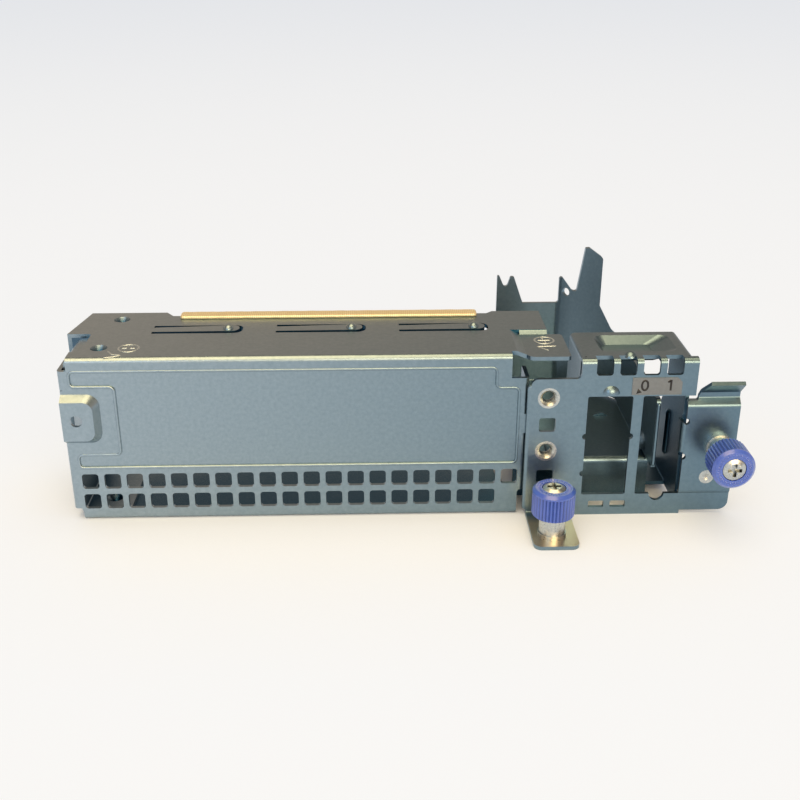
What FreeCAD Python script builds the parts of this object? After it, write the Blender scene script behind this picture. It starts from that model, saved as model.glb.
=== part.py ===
"""Riser filler bracket: a vented blanking panel with a two-slot module cage, a guide tray
and two captive thumbscrews, folded from thin zinc-coated steel sheet.

Panel frame while drawing: X runs along the panel from its left edge, Y runs back from the
panel's front face, Z runs up from the surface the bracket stands on.  Every piece is then
moved so that the origin lies on the foot screw's axis, at the underside of the foot.
"""
import FreeCAD
import Part
import Sketcher
import math
import os
from types import SimpleNamespace

V = FreeCAD.Vector

SIZES = (
    ("sheet_thick", 1.0, "sheet of all folded pieces"),
    ("bend_inner", 0.3, "inside radius of every fold"),
    ("cut_past", 2.0, "how far a cutting tool runs past the sheet"),
    # blanking panel
    ("panel_width", 113.2, "front face, left edge to right fold"),
    ("panel_height", 43.6, "standing surface to the top flange"),
    ("top_depth", 33.0, "front face to the rear edge of the top flange"),
    ("top_overhang", 6.3, "top flange past the front's right fold"),
    ("bottom_depth", 24.0, "depth of the bottom flange"),
    ("bottom_short", 5.2, "bottom flange stops this far before the right fold"),
    ("corner_inset", 2.0, "top and bottom flanges start this far from the left edge"),
    ("corner_height", 3.2, "height of the open corners at the left edge"),
    ("edge_out", 0.35, "the left fold lies this far outside the boss end"),
    ("left_flange", 9.0, "depth of the flanges folded back at the left edge"),
    ("right_flange", 8.0, "depth of the flange folded back at the right edge"),
    ("end_notch_reach", 4.6, "notch in the left edge of the top flange"),
    ("end_notch_front", 4.8, "front side of that notch"),
    ("end_notch_length", 12.4, "length of that notch"),
    ("flare_back", 0.7, "flared guide at the left edge: its rear end outside the flange"),
    ("flare_front", 3.5, "its front end outside the flange"),
    ("flare_height", 8.0, "how far the guide is folded down"),
    ("vent_pitch", 5.5, "spacing of the square vents along the panel"),
    ("vent_row_pitch", 5.6, "spacing of the two vent rows"),
    ("vent_side", 4.1, "side of a vent"),
    ("vent_round", 0.75, "corner radius of a vent"),
    ("vent_first", 4.6, "centre of the first vent"),
    ("vent_upper", 10.8, "height of the upper vent row"),
    ("vent_end_upper", 4.0, "upper row: last vent at least this far from the right fold"),
    ("vent_end_lower", 9.0, "lower row: last vent at least this far from the right fold"),
    ("field_depth", 0.35, "how far the large field is pressed back"),
    ("field_left", 2.4, "left side of the field"),
    ("field_end", 2.4, "field to the right fold"),
    ("field_over_vents", 3.8, "field above the middle of the upper vents"),
    ("field_under_top", 3.4, "field below the top flange"),
    ("field_round", 1.2, "corner radius of the field"),
    ("field_step_width", 5.6, "step in the field's upper right corner"),
    ("field_step_height", 5.3, "height of that step"),
    ("bay_width", 10.5, "bay that the field leaves round the boss"),
    ("bay_above", 3.5, "field above which the bay starts"),
    ("bay_below", 3.9, "field under which the bay ends"),
    ("boss_height", 2.0, "boss stands proud of the front face"),
    ("boss_right", 9.4, "right side of the boss at its base"),
    ("boss_above", 3.1, "boss above the bay's lower side"),
    ("boss_below", 1.5, "boss below the bay's upper side"),
    ("boss_slope", 1.7, "how far the boss walls lean in"),
    ("boss_round", 3.2, "corner radius of the boss"),
    ("boss_hole", 3.0, "diameter of the hole in the boss"),
    ("boss_hole_x", 3.5, "hole centre from the left edge"),
    ("boss_hole_lift", 0.2, "hole centre above the boss middle"),
    ("notch_width", 4.4, "opening at the upper right of the front"),
    ("notch_drop", 6.1, "depth of that opening below the top flange"),
    ("notch_back", 2.5, "front edge of the top flange above that opening"),
    ("relief_width", 1.9, "relief slot at the lower right corner"),
    ("relief_high", 7.2, "height of that slot"),
    ("lap_reach", 2.4, "lap tab behind the pillar"),
    ("lap_tall", 4.0, "height of the lap tab"),
    ("tab_drop", 1.0, "the corner tab lies this far below the top flange"),
    ("tab_lap", 0.7, "the corner tab starts this far left of the right fold"),
    ("tab_width", 10.7, "width of the corner tab"),
    ("tab_front", 0.9, "front edge of the corner tab"),
    ("tab_ramp", 2.4, "slope from the top flange down to the corner tab"),
    ("tab_back", 17.4, "rear riser of the corner tab"),
    ("tab_round", 2.2, "rounded front left corner of the tab"),
    ("finger_first", 19.5, "root of the first spring finger"),
    ("finger_end", 9.3, "tip of the last finger to the right fold"),
    ("fingers", 3, "number of spring fingers"),
    ("finger_length", 21.9, "root to tip"),
    ("finger_line", 19.8, "middle line of the fingers"),
    ("finger_root", 3.1, "finger width at its root"),
    ("finger_tip", 4.2, "finger width at its tip"),
    ("finger_slot", 1.3, "slot beside the finger's root"),
    ("finger_gap", 0.9, "slot at the finger's tip"),
    ("finger_rise", 0.3, "how far the finger's tip is sprung up"),
    ("finger_dome", 1.35, "radius of the contact dome"),
    ("finger_dome_rise", 1.0, "height of the contact dome"),
    ("finger_dome_in", 2.8, "contact dome from the tip"),
    ("rear_tongue", 21.0, "end of the deep part of the rear edge at the left"),
    ("rear_cutback", 2.8, "rear edge cut back where the gasket sits"),
    ("rear_end", 7.8, "end of the gasket edge before the right fold"),
    ("rear_step", 1.6, "step of the rear edge at the right"),
    ("rear_lip", 7.0, "lip folded down under the gasket edge"),
    ("lip_inset", 1.2, "lip starts this far inside the cut-back edge"),
    ("clinch_front_x", 8.6, "front clinch point"),
    ("clinch_front_y", 7.3, "front clinch point"),
    ("clinch_rear_x", 10.1, "rear clinch point"),
    ("clinch_rear_y", 27.8, "rear clinch point"),
    ("clinch_floor_x", 8.3, "clinch point on the bottom flange"),
    ("clinch_floor_y", 7.7, "clinch point on the bottom flange"),
    ("clinch_radius", 1.8, "button of a clinch point"),
    ("clinch_dish", 2.1, "dish radius on top of a clinch point"),
    ("clinch_below", 0.6, "button below the lower sheet"),
    ("clinch_skin", 0.5, "bottom of a button"),
    ("clinch_gap", 0.05, "room round a button in the lower sheet"),
    # end bracket
    ("end_front", 2.0, "front edge of the end bracket"),
    ("end_back", 31.0, "rear edge of the end bracket"),
    ("end_lap", 12.5, "width of its laps under the top and over the bottom flange"),
    ("end_room", 1.0, "room between its wall and the flared guide"),
    # cage bracket
    ("seam_gap", 0.3, "gap between the panel's right fold and the pillar"),
    ("pillar_width", 12.1, "pillar"),
    ("pillar_round", 1.8, "corner radius at the pillar's top left"),
    ("cage_width", 28.3, "cage face"),
    ("cage_drop", 1.2, "cage top below the panel's top flange"),
    ("cage_depth", 18.0, "rear edge of the cage top"),
    ("cage_fillet", 1.2, "inside corner between pillar top and cage face"),
    ("wall_inset", 0.9, "right wall lies this far inside the face's edge"),
    ("wall_front", 1.4, "front edge of the cage's side walls"),
    ("wall_foot", 2.0, "lower edge of the right wall"),
    ("wall_lip", 7.0, "width of the lip folded in at that edge"),
    ("wall_lip_gap", 0.4, "lip behind the front flange of the tray"),
    ("wall_deep", 25.0, "rear edge of the right wall"),
    ("wall_deep_top", 17.0, "top of the right wall at its rear edge"),
    ("wall_slope_top", 27.0, "top of the right wall's slope under the cage top's rear edge"),
    ("bead_y", 13.5, "bead in the right wall"),
    ("bead_radius", 1.3, "bead in the right wall"),
    ("bead_length", 10.5, "bead in the right wall"),
    ("bead_lift", 9.0, "bead above the wall's lower edge"),
    ("floor_lap", 5.0, "left wall's lap on the tray floor"),
    ("window_low", 5.8, "lower side of the module windows"),
    ("window_head", 9.6, "module windows below the cage top"),
    ("window_margin", 1.9, "first window from the cage's left wall"),
    ("window_width", 11.1, "width of a window"),
    ("mullion", 2.5, "strip between the windows"),
    ("edge_notch", 0.8, "radius of the small notches in the window sides"),
    ("edge_notch_high", 22.0, "upper notches in the first window's sides"),
    ("edge_notch_low", 11.8, "lower notch in the first window's left side"),
    ("window_round", 0.5, "corner radius of a window"),
    ("fold_notch_start", 1.6, "first notch across the cage's top fold, from the window side"),
    ("fold_notch_pitch", 5.7, "spacing of those notches"),
    ("fold_notches", 4, "number of those notches"),
    ("fold_notch_width", 4.1, "width of a notch"),
    ("fold_notch_tall", 4.1, "height of a notch in the face"),
    ("fold_notch_back", 1.8, "rear side of a notch in the top"),
    ("fold_notch_round", 0.7, "corner radius of a notch"),
    ("slot_start", 2.0, "first keying slot from the window side"),
    ("slot_pitch", 5.5, "spacing of the keying slots"),
    ("slot_width", 3.9, "length of a keying slot"),
    ("slot_height", 1.8, "height of a keying slot"),
    ("slot_z", 3.0, "middle of the keying slots"),
    ("scoop_radius", 1.9, "half-round scoop under the second window"),
    ("pillar_line_in", 4.4, "middle line of the pillar's holes from its edge"),
    ("pillar_hole_drop", 5.0, "upper clinch nut below the pillar top"),
    ("pillar_hole_pitch", 7.15, "spacing of the pillar's holes"),
    ("square_width", 4.1, "square hole in the pillar"),
    ("square_height", 3.7, "square hole in the pillar"),
    ("pocket_in_left", 5.4, "pressed pocket in the cage top, from the left wall"),
    ("pocket_in_right", 3.0, "pressed pocket in the cage top, from the right wall"),
    ("pocket_front", 4.4, "pressed pocket in the cage top"),
    ("pocket_in_back", 2.2, "pressed pocket in the cage top, from the rear edge"),
    ("pocket_depth", 1.9, "pressed pocket in the cage top"),
    ("pocket_lean", 1.8, "slope of the pocket's rear and left walls"),
    ("pocket_ramp", 5.0, "slope of the pocket's right wall"),
    ("pocket_round", 2.4, "corner radius of the pocket"),
    ("pip_lift", 0.7, "lanced pip above the first window"),
    ("pip_radius", 2.1, "lanced pip above the first window"),
    ("pip_rise", 1.1, "lanced pip above the first window"),
    ("crown_in", 12.2, "half-round pip on the cage top, from the left wall"),
    ("crown_y", 2.6, "half-round pip on the cage top"),
    ("crown_radius", 1.5, "half-round pip on the cage top"),
    ("crown_rise", 0.8, "half-round pip on the cage top"),
    ("wing_width", 13.0, "wing, from the second window's right side"),
    ("wing_low", 1.0, "lower edge of the wing"),
    ("wing_round", 2.4, "lower right corner of the wing"),
    ("wing_proud", 0.4, "the wing plate stands this far before the cage face"),
    ("wing_crease", 6.3, "height of the crease across the wing"),
    ("wing_offset_z", 30.2, "height of the offset below the lip"),
    ("wing_offset", 1.6, "the wing steps back this far at the offset"),
    ("lip_neck", 1.4, "upright strip between the offset and the lip"),
    ("lip_rise", 3.0, "height of the lip"),
    ("lip_flare", 3.1, "how far the lip flares forward"),
    ("lip_start", 2.8, "left end of the lip, from the wing's left side"),
    ("lip_slope", 2.2, "slant of the lip's left end"),
    ("catch_low", 17.5, "catch folded back at the second window"),
    ("catch_tall", 8.0, "catch folded back at the second window"),
    ("catch_depth", 3.6, "catch folded back at the second window"),
    ("foot_inset", 0.1, "foot from the pillar's left edge"),
    ("foot_short", 0.9, "foot before the cage's left wall"),
    ("foot_reach", 18.0, "front edge of the foot before the panel face"),
    ("foot_round", 2.0, "front corners of the foot"),
    # guide tray
    ("tray_past", 14.2, "tray floor reaches this far left of the cage wall"),
    ("tray_width", 35.3, "tray floor"),
    ("tray_front", 9.5, "front flange of the tray"),
    ("tray_back", 62.0, "front face of the rear wall"),
    ("floor_top", 10.8, "upper face of the tray floor"),
    ("rear_rise", 24.7, "rear wall above the floor"),
    ("rear_corner_in", 4.5, "right end of the rear wall, from the cage's left wall"),
    ("rear_lap", 1.5, "rear wall runs behind the prong tab by this"),
    ("rear_bend", 2.6, "inside radius of the bend into the slanted wall"),
    ("slant_gap", 0.5, "slanted wall clears the floor by this"),
    ("side_rise", 19.2, "side wall above the floor"),
    ("side_front", 3.0, "front edge of the side wall"),
    ("side_round", 1.2, "upper front corner of the side wall"),
    ("side_fold_front", 14.0, "front end of the fold between floor and side wall"),
    ("side_fold_length", 30.0, "length of that fold"),
    ("ear_lance_y", 13.5, "half-round lance in the side wall"),
    ("ear_lance_lift", 1.8, "half-round lance in the side wall, above the floor"),
    ("ear_lance_radius", 3.6, "half-round lance in the side wall"),
    ("ear_lance_rise", 1.2, "half-round lance in the side wall"),
    ("shoulder_x", 13.4, "shoulder of the slanted wall, from the rear corner"),
    ("shoulder_rise", 21.0, "shoulder of the slanted wall above the floor"),
    ("blade_front", 10.2, "front edge of the blade, from the rear corner"),
    ("blade_heel", 1.0, "foot of the blade's front edge below the notch"),
    ("blade_back", 4.3, "foot of the blade's rear edge"),
    ("blade_notch", 39.0, "notch between blade and ear"),
    ("blade_lean", 1.7, "lean of the blade's rear edge"),
    ("blade_rise", 15.0, "top of the blade above the notch"),
    ("blade_fall", 2.0, "slope of the blade's top edge"),
    ("blade_round", 1.0, "rounding of the blade's top corners"),
    ("ear_rise", 4.8, "tip of the ear beside the blade, above the notch"),
    ("ear_hole", 2.4, "hole in the ear"),
    ("ear_hole_x", 1.8, "hole in the ear, from the rear corner"),
    ("ear_hole_lift", 0.4, "hole in the ear above the notch"),
    ("prong_foot", 7.8, "width of the prong tab at its foot"),
    ("prong_set", 4.0, "prong tab before the rear wall"),
    ("prong_rise", 34.3, "tips of the prongs above the floor"),
    ("prong_width", 5.0, "width of the tab at the prong tips"),
    ("prong_taper", 8.7, "sloping part of the tab's right side"),
    ("prong_cleft", 4.4, "depth of the cleft between the prongs"),
    ("lance_in", 7.5, "half-round lance in the tray floor, from its right edge"),
    ("lance_y", 35.5, "half-round lance in the tray floor"),
    ("lance_radius", 2.0, "half-round lance in the tray floor"),
    ("lance_rise", 0.9, "half-round lance in the tray floor"),
    # captive thumbscrews
    ("foot_screw_in", 4.9, "axis of the foot screw from the foot's left edge"),
    ("foot_screw_back", 5.8, "axis of the foot screw behind the foot's front edge"),
    ("wing_screw_in", 8.7, "axis of the wing screw from the wing's left side"),
    ("wing_screw_z", 19.2, "axis of the wing screw"),
    ("spigot_radius", 2.6, "ferrule spigot pressed into the sheet"),
    ("collar_radius", 3.5, "ferrule collar on the sheet"),
    ("collar_height", 1.2, "ferrule collar on the sheet"),
    ("ferrule_radius", 3.2, "ferrule body"),
    ("ferrule_height", 6.4, "ferrule above the sheet"),
    ("ferrule_web_lift", 1.6, "underside of the ferrule's tapped web above the sheet"),
    ("ferrule_web", 0.8, "thickness of the tapped web"),
    ("spring_bore_room", 0.25, "room round the spring in its bore"),
    ("thread_radius", 1.5, "radius over the screw's thread"),
    ("thread_room", 0.2, "room round the thread in the ferrule"),
    ("tip_inset", 0.3, "screw end inside the sheet's far face at rest"),
    ("neck_radius", 1.25, "neck of the screw"),
    ("neck_room", 0.08, "room round the neck in the web"),
    ("shoulder_gap", 0.1, "thread shoulder below the web at rest"),
    ("travel", 4.4, "how far the knob can be pressed"),
    ("travel_room", 0.3, "room left when the knob is pressed home"),
    ("knob_radius", 5.2, "knob"),
    ("knob_lap", 0.5, "knob over the ferrule at rest"),
    ("knob_web", 0.9, "web under the screw head"),
    ("knob_rim", 0.7, "chamfer round the knob's top"),
    ("knob_band", 0.4, "plain band above the ribs"),
    ("knob_room", 0.25, "room between ferrule and knob"),
    ("rib_count", 36, "grooves round the knob"),
    ("rib_depth", 0.35, "depth of a groove"),
    ("rib_width", 0.55, "width of a groove"),
    ("head_radius", 2.75, "screw head"),
    ("head_height", 1.35, "screw head"),
    ("head_recess", 1.0, "recess for the head in the knob"),
    ("head_room", 0.15, "room round the head"),
    ("head_edge", 0.45, "rounding of the head, drawn as a chamfer"),
    ("cross_length", 3.4, "cross recess"),
    ("cross_width", 0.9, "cross recess"),
    ("cross_depth", 0.9, "cross recess"),
    ("spring_room", 0.4, "room between neck and spring"),
    ("wire_radius", 0.2, "spring wire"),
    ("spring_turns", 5, "turns of the spring"),
    ("spring_seat", 0.05, "room at each end of the spring"),
    ("spring_steps", 16, "straight steps in a turn of the spring"),
    # small pieces
    ("nut_bore", 1.65, "thread bore of a clinch nut"),
    ("nut_wall", 1.05, "wall of the shank that sits flush in the sheet"),
    ("nut_flange", 0.9, "body of a clinch nut outside its shank"),
    ("nut_height", 2.0, "body of a clinch nut"),
    ("nut_lead", 0.45, "chamfer at the mouth of the bore"),
    ("pin_in", 6.6, "locating pin in the wing, from the wing's left side"),
    ("pin_z", 10.6, "locating pin in the wing"),
    ("pin_radius", 1.3, "locating pin"),
    ("pin_press", 0.55, "its shank pressed into the wing is wider by this"),
    ("pin_length", 5.0, "locating pin behind the sheet"),
    ("pin_point", 0.8, "bevel at the pin's end"),
    ("pin_dimple", 0.4, "dimple in the pin's flush end"),
    ("label_over", 3.1, "slot label starts this far left of the second window"),
    ("label_length", 12.2, "slot label"),
    ("label_lift", 0.4, "slot label above the windows"),
    ("label_tall", 4.5, "slot label"),
    ("label_thick", 0.15, "slot label"),
    ("label_corner", 1.2, "cut corner of the slot label"),
    ("gasket_start", 0.6, "gasket from the left end of its lip"),
    ("gasket_stop", 1.4, "gasket from the right end of its lip"),
    ("gasket_over", 2.9, "gasket lies this far over the top flange"),
    ("gasket_tall", 0.85, "gasket above the top flange"),
    ("gasket_back", 1.2, "gasket behind the lip"),
    ("gasket_drop", 3.2, "gasket below the top flange's upper face"),
    ("gasket_round", 0.6, "bevelled edges of the gasket"),
)

doc = FreeCAD.newDocument("riser_filler_bracket")
sheet = doc.addObject("Spreadsheet::Sheet", "Sizes")
for row, (alias, value, note) in enumerate(SIZES, start=1):
    sheet.set(f"A{row}", note)
    sheet.set(f"B{row}", str(value))
    sheet.setAlias(f"B{row}", alias)
doc.recompute()
mm = SimpleNamespace(**{alias: float(sheet.get(alias)) for alias, _, _ in SIZES})


class Bound:
    """A length together with the sheet expression that drives it."""

    def __init__(self, value, text):
        self.value = value
        self.text = text

    def join(self, sign, other, result):
        text = other.text if isinstance(other, Bound) else str(other)
        return Bound(result, f"({self.text} {sign} {text})")

    def __add__(self, other):
        return self.join("+", other, self.value + number(other))

    def __sub__(self, other):
        return self.join("-", other, self.value - number(other))

    def __mul__(self, other):
        return self.join("*", other, self.value * number(other))

    def __truediv__(self, other):
        return self.join("/", other, self.value / number(other))

    def __neg__(self):
        return Bound(-self.value, f"-({self.text})")


def number(length):
    """Plain number behind a bound or bare length."""
    return length.value if isinstance(length, Bound) else length


ex = SimpleNamespace(**{alias: Bound(getattr(mm, alias), f"Sizes.{alias}") for alias, _, _ in SIZES})


def derive(**lengths):
    """Add places that follow from the sizes, as bound lengths and as plain numbers."""
    for name, length in lengths.items():
        setattr(ex, name, length)
        setattr(mm, name, length.value)


# Places along X.
derive(
    top_right=ex.panel_width + ex.top_overhang, bottom_right=ex.panel_width - ex.bottom_short,
    notch_left=ex.panel_width - ex.notch_width, relief_left=ex.panel_width - ex.relief_width,
    tab_left=ex.panel_width - ex.tab_lap, rear_stop=ex.panel_width - ex.rear_end,
    field_right=ex.panel_width - ex.field_end, field_bay_x=ex.field_left + ex.bay_width,
    pillar_left=ex.panel_width + ex.seam_gap)
derive(
    tab_right=ex.tab_left + ex.tab_width, field_step_x=ex.field_right - ex.field_step_width,
    lip_left=ex.rear_tongue + ex.rear_cutback + ex.lip_inset / 2, lip_right=ex.rear_stop - ex.lip_inset,
    cage_left=ex.pillar_left + ex.pillar_width, pillar_line=ex.pillar_left + ex.pillar_line_in,
    foot_left=ex.pillar_left + ex.foot_inset)
derive(
    cage_right=ex.cage_left + ex.cage_width, lap_left=ex.cage_left - ex.floor_lap,
    window_first=ex.cage_left + ex.window_margin, foot_right=ex.cage_left - ex.foot_short,
    tray_left=ex.cage_left - ex.tray_past, rear_corner=ex.cage_left + ex.rear_corner_in,
    crown_x=ex.cage_left + ex.crown_in, pocket_left=ex.cage_left + ex.pocket_in_left,
    foot_screw_x=ex.foot_left + ex.foot_screw_in)
derive(
    wall_right=ex.cage_right - ex.wall_inset, tray_right=ex.tray_left + ex.tray_width,
    prong_right=ex.tray_left + ex.prong_foot, window_second=ex.window_first + ex.window_width + ex.mullion,
    fold_notch_first=ex.window_first + ex.fold_notch_start, slot_first=ex.window_first + ex.slot_start,
    pip_x=ex.window_first + ex.window_width / 2)
derive(
    pocket_right=ex.wall_right - ex.pocket_in_right, scoop_x=ex.window_second + ex.window_width / 2,
    wing_left=ex.window_second + ex.window_width, label_left=ex.window_second - ex.label_over,
    lance_x=ex.tray_right - ex.lance_in)
derive(
    wing_right=ex.wing_left + ex.wing_width, lip_left_end=ex.wing_left + ex.lip_start,
    wing_screw_x=ex.wing_left + ex.wing_screw_in, pin_x=ex.wing_left + ex.pin_in,
    label_right=ex.label_left + ex.label_length)
# Places along Y.
derive(
    rear_cut=ex.top_depth - ex.rear_cutback, end_notch_back=ex.end_notch_front + ex.end_notch_length,
    foot_screw_y=ex.foot_screw_back - ex.foot_reach, pocket_back=ex.cage_depth - ex.pocket_in_back,
    prong_y=ex.tray_back - ex.prong_set)
# Heights.
derive(
    cage_top=ex.panel_height - ex.cage_drop, notch_low=ex.panel_height - ex.notch_drop,
    field_low=ex.vent_upper + ex.field_over_vents, field_high=ex.panel_height - ex.field_under_top,
    rear_high=ex.floor_top + ex.rear_rise, side_top=ex.floor_top + ex.side_rise,
    shoulder_z=ex.floor_top + ex.shoulder_rise, blade_top=ex.blade_notch + ex.blade_rise,
    ear_top=ex.blade_notch + ex.ear_rise, prong_top=ex.floor_top + ex.prong_rise,
    lip_foot=ex.wing_offset_z + ex.wing_offset + ex.lip_neck)
derive(
    window_high=ex.cage_top - ex.window_head, fold_notch_low=ex.cage_top - ex.fold_notch_tall,
    pillar_hole_top=ex.notch_low - ex.pillar_hole_drop, lip_high=ex.lip_foot + ex.lip_rise,
    field_bay_low=ex.field_low + ex.bay_above, field_bay_high=ex.field_high - ex.bay_below,
    field_step_z=ex.field_high - ex.field_step_height)
derive(
    label_low=ex.window_high + ex.label_lift, boss_low=ex.field_bay_low + ex.boss_above,
    boss_high=ex.field_bay_high - ex.boss_below,
    lap_low=ex.pillar_hole_top - ex.pillar_hole_pitch - ex.lap_tall / 2)
derive(
    label_high=ex.label_low + ex.label_tall, lap_high=ex.lap_low + ex.lap_tall,
    boss_hole_z=(ex.boss_low + ex.boss_high) / 2 + ex.boss_hole_lift)
# Fits of the turned pieces.
derive(
    nut_shank=ex.nut_bore + ex.nut_wall, pin_shank=ex.pin_radius + ex.pin_press,
    spring_mean=ex.neck_radius + ex.spring_room + ex.wire_radius)
derive(
    nut_body=ex.nut_shank + ex.nut_flange, spring_bore=ex.spring_mean + ex.wire_radius + ex.spring_bore_room)
subparts = []


def rounded_edges(points, radii):
    """Closed run of lines through the points, with a tangent arc of its radius at each corner."""
    stops = []
    for i, (corner, radius) in enumerate(zip(points, radii)):
        if radius <= 0:
            stops.append((corner, None, corner))
            continue
        back = (points[i - 1] - corner).normalize()
        ahead = (points[(i + 1) % len(points)] - corner).normalize()
        half = back.getAngle(ahead) / 2
        inward = (back + ahead).normalize()
        reach = radius / math.tan(half)
        middle = corner + inward * (radius / math.sin(half) - radius)
        stops.append((corner + back * reach, middle, corner + ahead * reach))
    edges = []
    for i, (start, middle, end) in enumerate(stops):
        if middle is not None:
            edges.append(Part.Arc(start, middle, end).toShape())
        following = stops[(i + 1) % len(stops)][0]
        if end.distanceToPoint(following) > 1e-6:
            edges.append(Part.LineSegment(end, following).toShape())
    return edges


def outline(points, radii=0.0):
    """Closed wire through the points; radii is one corner radius or one for each corner."""
    if not isinstance(radii, (list, tuple)):
        radii = [radii] * len(points)
    return Part.Wire(rounded_edges(points, radii))


def plate(points, run, radii=0.0):
    """Prism of a rounded outline, drawn out by the vector run."""
    return Part.Face(outline(points, radii)).extrude(run)


def folded_strip(path, side, run, bend=None):
    """Sheet strip whose one face follows path, its thickness lying towards side, drawn out by run.

    Each corner of path is a fold: the inner face gets the bend radius, the outer face that
    radius plus the sheet thickness.
    """
    thick = mm.sheet_thick
    bend = mm.bend_inner if bend is None else bend
    axis = V(run).normalize()
    ways = [(b - a).normalize() for a, b in zip(path, path[1:])]
    normals = [axis.cross(way) for way in ways]
    if normals[0].dot(side) < 0:
        normals = [-n for n in normals]
    near, far, far_points = [0.0], [0.0], [path[0] + normals[0] * thick]
    for i in range(1, len(path) - 1):
        before, after = normals[i - 1], normals[i]
        far_points.append(path[i] + (before + after) * (thick / (1 + before.dot(after))))
        towards = ways[i].dot(before) > 0
        near.append(bend + thick if towards else bend)
        far.append(bend if towards else bend + thick)
    far_points.append(path[-1] + normals[-1] * thick)
    near.append(0.0)
    far.append(0.0)
    return plate(list(path) + far_points[::-1], run, near + far[::-1])


def block(x, y, z):
    """Box between the two ends given on each axis."""
    return Part.makeBox(x[1] - x[0], y[1] - y[0], z[1] - z[0], V(x[0], y[0], z[0]))


def front_outline(x, z, y):
    """Corners of a rectangle that faces the front, at depth y."""
    return [V(x[0], y, z[0]), V(x[1], y, z[0]), V(x[1], y, z[1]), V(x[0], y, z[1])]


def level_outline(x, y, z):
    """Corners of a level rectangle at height z."""
    return [V(x[0], y[0], z), V(x[1], y[0], z), V(x[1], y[1], z), V(x[0], y[1], z)]


def front_hole(x, z, y, radius):
    """Rounded rectangular cutter that runs through a front-facing sheet between the depths y."""
    return plate(front_outline(x, z, y[0]), V(0, y[1] - y[0], 0), radius)


def half_dome(centre, up, cut, radius, rise):
    """Pip of the given rise on a sheet face, cut flat on the side towards cut."""
    ball = (radius ** 2 + rise ** 2) / (2 * rise)
    dome = Part.makeSphere(ball, centre + up * (rise - ball))
    along = up.cross(cut)
    corner = centre - along * (2 * radius) - up * (mm.sheet_thick / 2)
    keep = plate(
        [corner, corner + along * (4 * radius), corner + along * (4 * radius) - cut * (2 * radius),
         corner - cut * (2 * radius)], up * (2 * ball))
    return dome.common(keep)


def sheet_piece(name, shape):
    """Document object of a finished folded piece, moved from the panel frame to the part's frame."""
    piece = doc.addObject("Part::Feature", name)
    piece.Label = name
    piece.Shape = shape.removeSplitter()
    piece.Placement = FreeCAD.Placement(V(-mm.foot_screw_x, -mm.foot_screw_y, 0), FreeCAD.Rotation())
    subparts.append(piece)
    return piece


def boss_shell(left, y_base, y_top, grow):
    """Tapered boss block between two depths, open at its left side; grow sets off its walls."""
    base = front_outline((left, mm.boss_right + grow), (mm.boss_low - grow, mm.boss_high + grow), y_base)
    lean = mm.boss_slope
    top = front_outline(
        (left, mm.boss_right + grow - lean), (mm.boss_low - grow + lean, mm.boss_high + grow - lean), y_top)
    rim, crest = mm.boss_round, mm.boss_round - lean / 2
    wires = [outline(base, [0, rim, rim, 0]), outline(top, [0, crest, crest, 0])]
    return Part.makeLoft(wires, True, True)


def spring_finger(root):
    """Slot cutter and sprung finger of one lanced finger on the top flange."""
    high, past = mm.panel_height, mm.cut_past
    tip = root + mm.finger_length
    line = mm.finger_line
    reach = mm.finger_root / 2 + mm.finger_slot
    cutter = plate(
        level_outline((root, tip + mm.finger_gap), (line - reach, line + reach), high - past),
        V(0, 0, 2 * past), [0.2, 0.8 * reach, 0.8 * reach, 0.2])
    start = root - 1.5
    strip = folded_strip(
        [V(start, line - reach, high), V(root - 0.3, line - reach, high),
         V(tip, line - reach, high + mm.finger_rise)], V(0, 0, -1), V(0, 2 * reach, 0))
    wide, narrow = mm.finger_tip / 2, mm.finger_root / 2
    shape = plate(
        [V(start, line - narrow, high - past), V(tip, line - wide, high - past),
         V(tip, line + wide, high - past), V(start, line + narrow, high - past)],
        V(0, 0, 3 * past), [0, 0.85 * wide, 0.85 * wide, 0])
    spot = tip - mm.finger_dome_in
    level = high + mm.finger_rise * (spot - root) / mm.finger_length
    ball = (mm.finger_dome ** 2 + mm.finger_dome_rise ** 2) / (2 * mm.finger_dome_rise)
    dome = Part.makeSphere(ball, V(spot, line, level + mm.finger_dome_rise - ball))
    dome = dome.common(block(
        (root, tip), (line - ball, line + ball), (level - mm.sheet_thick / 2, level + 2 * ball)))
    return cutter, strip.common(shape).fuse(dome)


def clinch_point(x, y, top, below):
    """Button and dish cutter of a clinch joint pressed down from the sheet face at height top.

    The button goes through the lower sheet and stands out of it by below.
    """
    under = top - mm.sheet_thick
    below = mm.sheet_thick + below
    button = Part.makeCylinder(mm.clinch_radius, below + mm.sheet_thick / 2, V(x, y, under - below))
    deep = mm.sheet_thick + below - mm.clinch_skin
    dish = Part.makeCone(mm.clinch_radius / 2, mm.clinch_dish, deep, V(x, y, top - deep))
    return button, dish


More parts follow.
